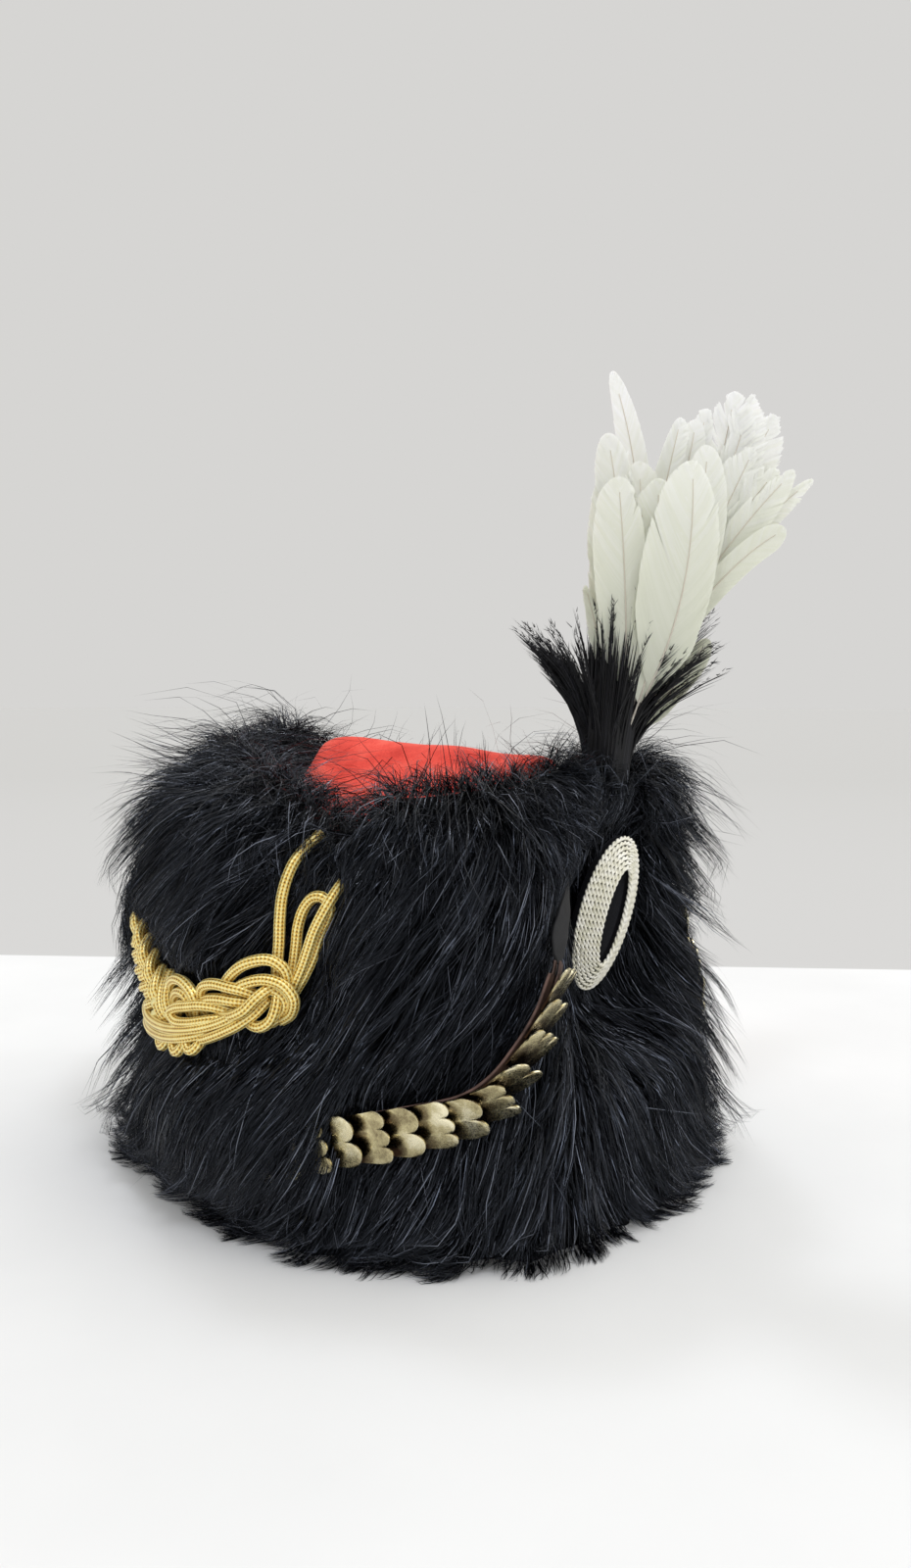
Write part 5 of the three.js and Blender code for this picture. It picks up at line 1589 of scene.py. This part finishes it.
def rods(paths, thick, sides=3):
    """Closed tapering rods along paths: a ring of points at each step but the last, and a point."""
    count, stops = paths.shape[:2]
    way = unit(np.gradient(paths, axis=1))
    first_side = unit(np.cross(way, unit(np.array([0.3, 0.9, 0.2]))))
    second_side = np.cross(way, first_side)
    angle = np.arange(sides) * 2 * np.pi / sides
    part = np.linspace(0, 1, stops)
    half = 0.5 * thick[:, None] * (1 - 0.8 * part ** 2)
    circle = (first_side[:, :-1, None] * np.cos(angle)[:, None]
              + second_side[:, :-1, None] * np.sin(angle)[:, None])
    rings = paths[:, :-1, None] + circle * half[:, :-1, None, None]
    points = np.concatenate([rings.reshape(count, -1, 3), paths[:, -1:]], axis=1)
    size = points.shape[1]
    walls = grid_faces(stops - 1, sides, wrap_columns=True)
    ring = (stops - 2) * sides + np.arange(sides)
    tip = joined(ring, size - 1, np.roll(ring, -1))
    foot = np.arange(sides)[None, :]
    first = (np.arange(count) * size)[:, None, None]
    faces = [(first + block).reshape(-1, block.shape[1]) for block in (walls, tip, foot)]
    v = np.concatenate([np.repeat(part[:-1], sides), [1.0]])
    return points.reshape(-1, 3), faces, joined(np.linspace(0, 1, count)[:, None], v).reshape(-1, 2)


def tuft_fingers(draw):
    """Middle line of every finger: a parabola (1-t)^2 root + 2t(1-t) waist + t^2 tip, so it leaves
    the core upright and then bends out."""
    tips = np.array([row[0] for row in TUFT_BUNCHES], float) + (0, 0, TUFT_RISE)
    fingers = np.array([row[2] for row in TUFT_BUNCHES])
    tip = np.repeat(tips, fingers, axis=0)
    spread = np.repeat([row[1] for row in TUFT_BUNCHES], fingers)[:, None]
    tip = tip + draw.normal(0, 0.8, tip.shape) * spread - UP * draw.uniform(0, 7, (len(tip), 1))
    root = unit(tip * (1, 1, 0)) * draw.uniform(2, 8, (len(tip), 1))
    root = root + draw.normal(0, 1.0, tip.shape) * (1, 1, 0)
    waist = root * 1.05 + tip * (0.1, 0.1, 0.62)
    part = np.linspace(0, 1, FINGER_POINTS)[None, :, None]
    root, waist, tip = root[:, None], waist[:, None], tip[:, None]
    bent = (1 - part) ** 2 * root + 2 * part * (1 - part) * waist + part ** 2 * tip
    return bent - TUFT_SUNK * UP * (1 - part)


def tuft_barbs(draw, fingers):
    """Barbs of every finger. They lie loosely together at the foot and draw close further out."""
    chosen = np.linspace(0, FINGER_POINTS - 1, BARB_POINTS).astype(int)
    lines = np.repeat(fingers[:, chosen], FINGER_BARBS, axis=0)
    count = len(lines)
    part = np.linspace(0, 1, BARB_POINTS)[None, :, None]
    apart = draw.normal(0, 1, (count, 1, 3)) * (0.3 + 0.7 * (1 - part) ** 2)
    wave = np.sin(part * 6 + draw.random((count, 1, 3)) * 6.3) * part * draw.normal(0, 0.3, (count, 1, 3))
    cut = draw.uniform(0.8, 1.0, (count, 1, 1))
    foot = lines[:, :1]
    path = foot + (lines - foot) * (1 - (1 - cut) * part) + apart + wave
    return in_plume(path), draw.uniform(0.7, 1.1, count)


def tuft_barbules(draw, fingers, per_finger):
    """Short side branches on the outer two thirds of each finger, which make its edge ragged."""
    count = len(fingers) * per_finger
    each = np.repeat(np.arange(len(fingers)), per_finger)
    at = draw.integers(12, FINGER_POINTS - 2, count)
    start = fingers[each, at] + draw.normal(0, 0.3, (count, 3))
    way = unit(fingers[each, at + 1] - fingers[each, at - 1])
    branch = unit(way + unit(draw.normal(0, 1, (count, 3))) * draw.uniform(0.3, 0.75, (count, 1)))
    length = draw.uniform(2.0, 5.0, (count, 1, 1))
    path = start[:, None] + branch[:, None] * length * np.linspace(0, 1, 3)[None, :, None]
    return in_plume(path), draw.uniform(0.3, 0.5, count)


def tuft_sheath(draw, count):
    """Upright barbs that cover the tuft's core: they stand on its foot and end at uneven heights."""
    angle = draw.random(count) * 2 * np.pi
    round_foot = joined(np.cos(angle), np.sin(angle), 0.0)
    tall = draw.uniform(46, 67, count) + TUFT_RISE
    part = np.linspace(0, 1, BARB_POINTS)[None, :, None]
    reach = CORE_HALF * (0.98 + 0.16 * part + 0.25 * part ** 3 * draw.normal(0, 1, (count, 1, 1)))
    path = round_foot[:, None] * reach + UP * (part * tall[:, None, None] - TUFT_SUNK)
    path = path + np.array([TUFT_LEAN, 0.05, 0]) * part * tall[:, None, None]
    return in_plume(path), draw.uniform(0.8, 1.5, count)


def dyed_barb():
    """Stiff feather barb dyed black: satin, a little browner where the dye is thin."""
    made, tree = new_material("black_dyed_feather_barb", Roughness=0.5, Specular_IOR_Level=0.35)
    speckle = add(tree, "TexWhiteNoise", {"W": own_uv(tree)["X"]}, noise_dimensions="1D")
    paint(tree, ramp(tree, speckle.outputs["Value"], [(0.0, "08080a"), (0.7, "131316"), (1.0, "24242a")]))
    return made


def tuft_core():
    """Dense middle of the tuft, a closed body that no light passes: rings that widen upwards."""
    angle = round_angles(24)
    rise = np.linspace(-TUFT_SUNK, 60, 14)
    half = table([(-TUFT_SUNK, 9.0), (10, 10.0), (30, 11.0), (52, 9.0), (60, 3.0)], rise)
    path = PLUME_FOOT + (rise * TUFT_LEAN)[:, None] * PLUME_SIDE + rise[:, None] * UP
    section = half[:, None, None] * joined(np.cos(angle), np.sin(angle))
    flat = np.broadcast_to(PLUME_SIDE, path.shape)
    return sweep(path, np.cross(UP, flat) * -1, flat, section)


draw_tuft = np.random.default_rng(5)
BARB = dyed_barb()
FINGERS = tuft_fingers(draw_tuft)
build("black_tuft", *rods(*tuft_barbs(draw_tuft, FINGERS)), BARB, "black_feather", replaces=("plume_base",))
build("black_tuft_barbules", *rods(*tuft_barbules(draw_tuft, FINGERS, 26)), BARB, "black_feather")
build("black_tuft_sheath", *rods(*tuft_sheath(draw_tuft, 420)), BARB, "black_feather")
build("black_tuft_core", *tuft_core(), BARB, "black_feather")

# %% [markdown]
# ## Cockade
#
# The cockade is an oval of seven rows of twisted silver cord, wound round a black velvet centre
# and rising towards it. Each cord has two plies that turn round each other like the strands of a
# rope: a ply is a thin tube whose middle runs on a helix about the row's oval.

# %% Cockade
COCKADE_ROWS = 7
COCKADE_HALF = np.array([22.5, 37.5])
VELVET_HALF = np.array([7.5, 22.5])
COCKADE_PLACE = np.array([-10.0, -113.0, 136.5])
COCKADE_RIM, COCKADE_RISE = 3.8, 5.4
COCKADE_PITCH, COCKADE_YAW, COCKADE_ROLL = 101, -5, -8.5
PLY_RADIUS = 0.58
PLY_OFFSET = 0.54
PLY_TWIST = 6.0  # millimetres along the cord for one turn of a ply
PLY_STEPS = 8  # steps of the mesh in one such turn


# Rings of the velvet: width and height as parts of the cockade's, and how far forward each lies.
VELVET_RINGS = [
    (0.02, 0.02, 0.0), (0.9, 0.93, 0.0), (0.96, 0.97, 0.4), (0.98, 0.985, 1.4), (0.98, 0.985, 2.6),
    (0.94, 0.955, 3.4), (0.38, 0.635, 8.0), (0.36, 0.62, 7.8), (0.34, 0.605, 6.6), (0.31, 0.59, 6.5),
    (0.27, 0.53, 6.8), (0.21, 0.42, 7.1), (0.13, 0.27, 7.3), (0.02, 0.03, 7.4),
]
VELVET_SIDES = 64


def rotation(axis, degrees):
    """Matrix that turns about the x, y or z axis."""
    c, s = math.cos(math.radians(degrees)), math.sin(math.radians(degrees))
    i, j = [(1, 2), (2, 0), (0, 1)]["xyz".index(axis)]
    made = np.eye(3)
    made[i, i], made[i, j], made[j, i], made[j, j] = c, -s, s, c
    return made


def on_cockade(points):
    """Points of the flat-lying cockade stood up in its place: roll, then yaw, then pitch."""
    turned = rotation("x", COCKADE_PITCH) @ rotation("y", COCKADE_YAW) @ rotation("z", COCKADE_ROLL)
    return points @ turned.T + COCKADE_PLACE


def row_oval(part, angle, z):
    """Oval between the rim (part 0) and the velvet (part 1)."""
    half = COCKADE_HALF + (VELVET_HALF - COCKADE_HALF) * part
    return joined(half[0] * np.cos(angle), half[1] * np.sin(angle), z)


def plied_row(row):
    """Two plies round one oval, as grids of rings that close on themselves, and their length."""
    part = (row + 0.5) / COCKADE_ROWS
    fine = np.linspace(0, 2 * np.pi, 721)
    along = distances(row_oval(part, fine, 0.0))
    turns = round(along[-1] / PLY_TWIST)
    steps = turns * PLY_STEPS
    angle = np.interp(np.arange(steps) * along[-1] / steps, along, fine)
    middle = row_oval(part, angle, COCKADE_RIM + COCKADE_RISE * part)
    way = unit(np.roll(middle, -1, axis=0) - np.roll(middle, 1, axis=0))
    beside = unit(np.cross(way, UP))
    sides = round_angles(6)
    for ply in (0, 1):
        helix = (np.arange(steps) * turns * 2 * np.pi / steps + ply * np.pi)[:, None]
        line = middle + PLY_OFFSET * (beside * np.cos(helix) + UP * np.sin(helix))
        run = unit(np.roll(line, -1, axis=0) - np.roll(line, 1, axis=0))
        first = unit(np.cross(run, UP))
        second = np.cross(first, run)
        ring = first[:, None] * np.cos(sides)[:, None] - second[:, None] * np.sin(sides)[:, None]
        yield line[:, None] + PLY_RADIUS * ring, along[-1]


def endless_tube(rings, length):
    """Tube through rings of points that closes on itself. U goes once round it, V along it."""
    steps, sides = rings.shape[:2]
    v = np.arange(steps)[:, None, None] * length / steps + np.array([0, 1, 1, 0]) * length / steps
    u = np.arange(sides)[:, None] / sides + np.array([0, 0, 1, 1]) / sides
    return rings.reshape(-1, 3), [grid_faces(steps, sides, True, True)], joined(u, v).reshape(-1, 2)


def cockade_cords():
    """All rows joined in one piece."""
    plies = [endless_tube(*ply) for row in range(COCKADE_ROWS) for ply in plied_row(row)]
    points, faces, uv = merged(plies)
    build("cockade_twisted_cord", on_cockade(points), faces, uv, SILVER, "silver_cord",
          replaces=("cockade_cord",))


def silver_thread():
    """Silver wire thread over white silk, gone ivory: soft gloss, paler and darker in short
    stretches of each ply."""
    made, tree = new_material("silver_wire_thread", Metallic=0.15, Roughness=0.42)
    uneven = noise(tree, object_place(tree), 220.0, 2.0)
    paint(tree, ramp(tree, uneven, [(0.3, "e2dfca"), (0.5, "f2efe0"), (0.7, "fdfbf2")]))
    uv = own_uv(tree)
    slant = calculate(tree, "MULTIPLY_ADD", uv["Y"], 0.35, uv["X"])
    thread = calculate(tree, "SINE", calculate(tree, "MULTIPLY", slant, 2 * math.pi * 4))
    bumps(tree, thread, 0.12, 0.0002)
    return made


def black_velvet():
    """Cotton velvet: its pile swallows light from the front and glows faintly at grazing angles."""
    made, tree = new_material(
        "black_cotton_velvet", Roughness=0.95, Specular_IOR_Level=0.1, Sheen_Weight=0.35,
        Sheen_Roughness=0.4, Sheen_Tint=colour("5a5c66"))
    pile = noise(tree, object_place(tree), 2200.0, 2.0)
    paint(tree, ramp(tree, pile, [(0.3, "08080a"), (0.7, "141417")]))
    bumps(tree, pile, 0.5, 0.0005)
    return made


def cockade_velvet():
    """Back plate that rises to the middle under the cords, and a pad in its opening, as rings from the
    centre of the back to the centre of the front. The back plate is black velvet too: a dark sheet that
    shows as painted shade in the gaps between the rows of cord."""
    wide, tall, lift = np.array(VELVET_RINGS).T[..., None]
    angle = round_angles(VELVET_SIDES)
    rings = joined(COCKADE_HALF[0] * wide * np.cos(angle), COCKADE_HALF[1] * tall * np.sin(angle), lift)
    points = np.concatenate([rings.reshape(-1, 3), [[0, 0, 0], [0, 0, VELVET_RINGS[-1][2]]]])
    ring = np.arange(VELVET_SIDES)
    after = np.roll(ring, -1)
    last = (len(VELVET_RINGS) - 1) * VELVET_SIDES
    back = joined(len(points) - 2, after, ring)
    front = joined(len(points) - 1, last + ring, last + after)
    walls = grid_faces(len(VELVET_RINGS), VELVET_SIDES, wrap_columns=True)[:, ::-1]
    build("cockade_velvet", on_cockade(points), [walls, back, front], np.zeros((len(points), 2)),
          black_velvet(), "black_velvet", replaces=("cockade_centre",), sharp_above=60)


SILVER = silver_thread()
cockade_cords()
cockade_velvet()

# %% [markdown]
# ## Red bag
#
# The bag is felted wool cloth. It makes a low ridge over the crown, lies over the rim at the
# wearer's left and hangs down that side to a narrow foot. The rows below say where the cloth's
# top, edges and foot are, from right to left. They make a coarse grid, which a cubic curve through
# the rows and then through the columns makes fine; a little creasing is added, then the thickness.

# %% Bag
BAG_ROWS = [
    # x, top, back, back edge, front, front edge, foot
    (-58, 177, 24, 29, -24, -29, 173), (-46, 188, 40, 51, -46, -52, 173), (-24, 202, 50, 67, -64, -69, 174),
    (-4, 212, 56, 73, -72, -75, 178), (24, 207, 50, 69, -64, -69, 180), (50, 199, 38, 42, -38, -42, 191),
    (72, 194, 37, 39, -37, -39, 192), (94, 192, 37, 39, -37, -39, 191), (116, 189, 36, 38, -36, -38, 188),
    (133, 176, 36, 38, -36, -38, 176), (141, 150, 34, 36, -34, -36, 150), (144, 118, 31, 33, -31, -33, 118),
    (146, 92, 24, 26, -24, -26, 93), (147, 74, 9, 10, -9, -10, 75),
]
BAG_FALLS = [(0, 1), (0.35, 0.6), (0.7, 0.18), (1, 0)]  # from an edge inwards: part, part of the fall
BAG_RIDGE_X = -4
BAG_RIDGE_FALL = 7  # how much lower the cloth lies at the front of the ridge than at its back
BAG_RIDGE_REACH = 120
BAG_CLOTH = 2.4


def bag_row(x, top, back, back_edge, front, front_edge, foot):
    """Points across one row: up from the back edge, along the flat, and down to the front edge."""
    up = [(back_edge + (back - back_edge) * at, fall) for at, fall in BAG_FALLS]
    flat = [(back + (front - back) * at, 0) for at in (0.25, 0.5, 0.75)]
    down = [(front_edge + (front - front_edge) * at, fall) for at, fall in BAG_FALLS[::-1]]
    y, fall = np.array(up + flat + down, float).T
    ridge = BAG_RIDGE_FALL * max(0, 1 - abs(x - BAG_RIDGE_X) / BAG_RIDGE_REACH)
    height = top - ridge * np.clip((back - y) / (back - front), 0, 1)
    bend = x * (1 - np.sqrt(1 - (y / FUR_FRONT) ** 2)) if x > FUR_SIDE else 0 * y
    return np.stack([x - bend, y, height - fall * (height - foot)], axis=1)


def refined(grid, steps):
    """Uniform Catmull-Rom curve through the rows of a grid, cut into steps between each two."""
    padded = np.concatenate([2 * grid[:1] - grid[1:2], grid, 2 * grid[-1:] - grid[-2:-1]])
    t = np.linspace(0, 1, steps, endpoint=False)[:, None, None]
    a, b, c, d = (padded[i:len(padded) - 3 + i][:, None] for i in range(4))
    spans = 0.5 * (2 * b + (c - a) * t + (2 * a - 5 * b + 4 * c - d) * t ** 2
                   + (3 * b - a - 3 * c + d) * t ** 3)
    return np.concatenate([spans.reshape(-1, *grid.shape[1:]), grid[-1:]])


def wool_felt():
    """Fulled wool cloth, milled until its weave is hidden: warm red, matt, with a fuzz of fibres
    that lightens grazing edges and a fine mottled grain."""
    made, tree = new_material(
        "red_wool_felt", Roughness=0.92, Specular_IOR_Level=0.15, Sheen_Weight=0.35, Sheen_Roughness=0.5,
        Sheen_Tint=colour("ff9c8c"))
    place_on = object_place(tree)
    fibres = noise(tree, place_on, 900.0, 4.0)
    mixed = calculate(tree, "MULTIPLY_ADD", fibres, 0.5, noise(tree, place_on, 60.0, 3.0))
    paint(tree, ramp(tree, mixed, [(0.5, "c8362d"), (0.75, "e44c40"), (1.0, "f06556")]))
    bumps(tree, fibres, 0.35, 0.0006)
    return made


def bag():
    """The fine grid with creases, as a closed sheet of cloth."""
    coarse = np.stack([bag_row(*row) for row in BAG_ROWS])
    fine = np.swapaxes(refined(np.swapaxes(refined(coarse, 5), 0, 1), 4), 0, 1)
    x, y = fine[..., 0], fine[..., 1]
    hang = ease(x, 110, 135)
    crease = 0.9 * np.sin(x / 17 + y / 23) * np.sin(y / 15 - x / 40) + 0.5 * np.sin(x / 8 - y / 11)
    fine[..., 2] += crease * (1 - hang)
    fine[..., 0] += hang * (1.2 * np.sin(y / 6 + fine[..., 2] / 50) * ease(-fine[..., 2], -150, -80))
    flat_size = [path_length(fine[:, fine.shape[1] // 2]), max(path_length(row) for row in fine)]
    piece = build("felt_bag", *closed_sheet(fine, BAG_CLOTH), wool_felt(), "red_cloth",
                  replaces=("bag",), sharp_above=60)


bag()

# %% [markdown]
# ## The stiff cap and the plume's stem
#
# These two stay as they are in the frame and get a finish: black lacquered leather for the cap's
# wall and crown, seen from below, and bare steel for the stem.

# %% Cap and stem
def steel():
    """Drawn steel rod: grey, with fine lines along it."""
    made, tree = new_material("drawn_steel", Metallic=1.0, Roughness=0.35)
    drawn = add(tree, "Mapping", {"Vector": object_place(tree), "Scale": (2500, 2500, 60)})
    paint(tree, ramp(tree, noise(tree, drawn, 1.0, 2.0), [(0.3, "77797d"), (0.7, "9a9ca0")]))
    return made


def finish_node(node, material):
    """Puts a material on a carried-over solid."""
    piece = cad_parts[node]
    piece.data.materials.clear()
    piece.data.materials.append(material)


finish_node("cap_body", leather("cap_leather", "221c18", "332b25", 0.65))
finish_node("plume_stem", steel())

# %% [markdown]
# ## Sizes at the end
#
# The number of triangles that the script added is printed.

# %% Sizes and finish
print("triangles added:", sum(TRIANGLES.values()))
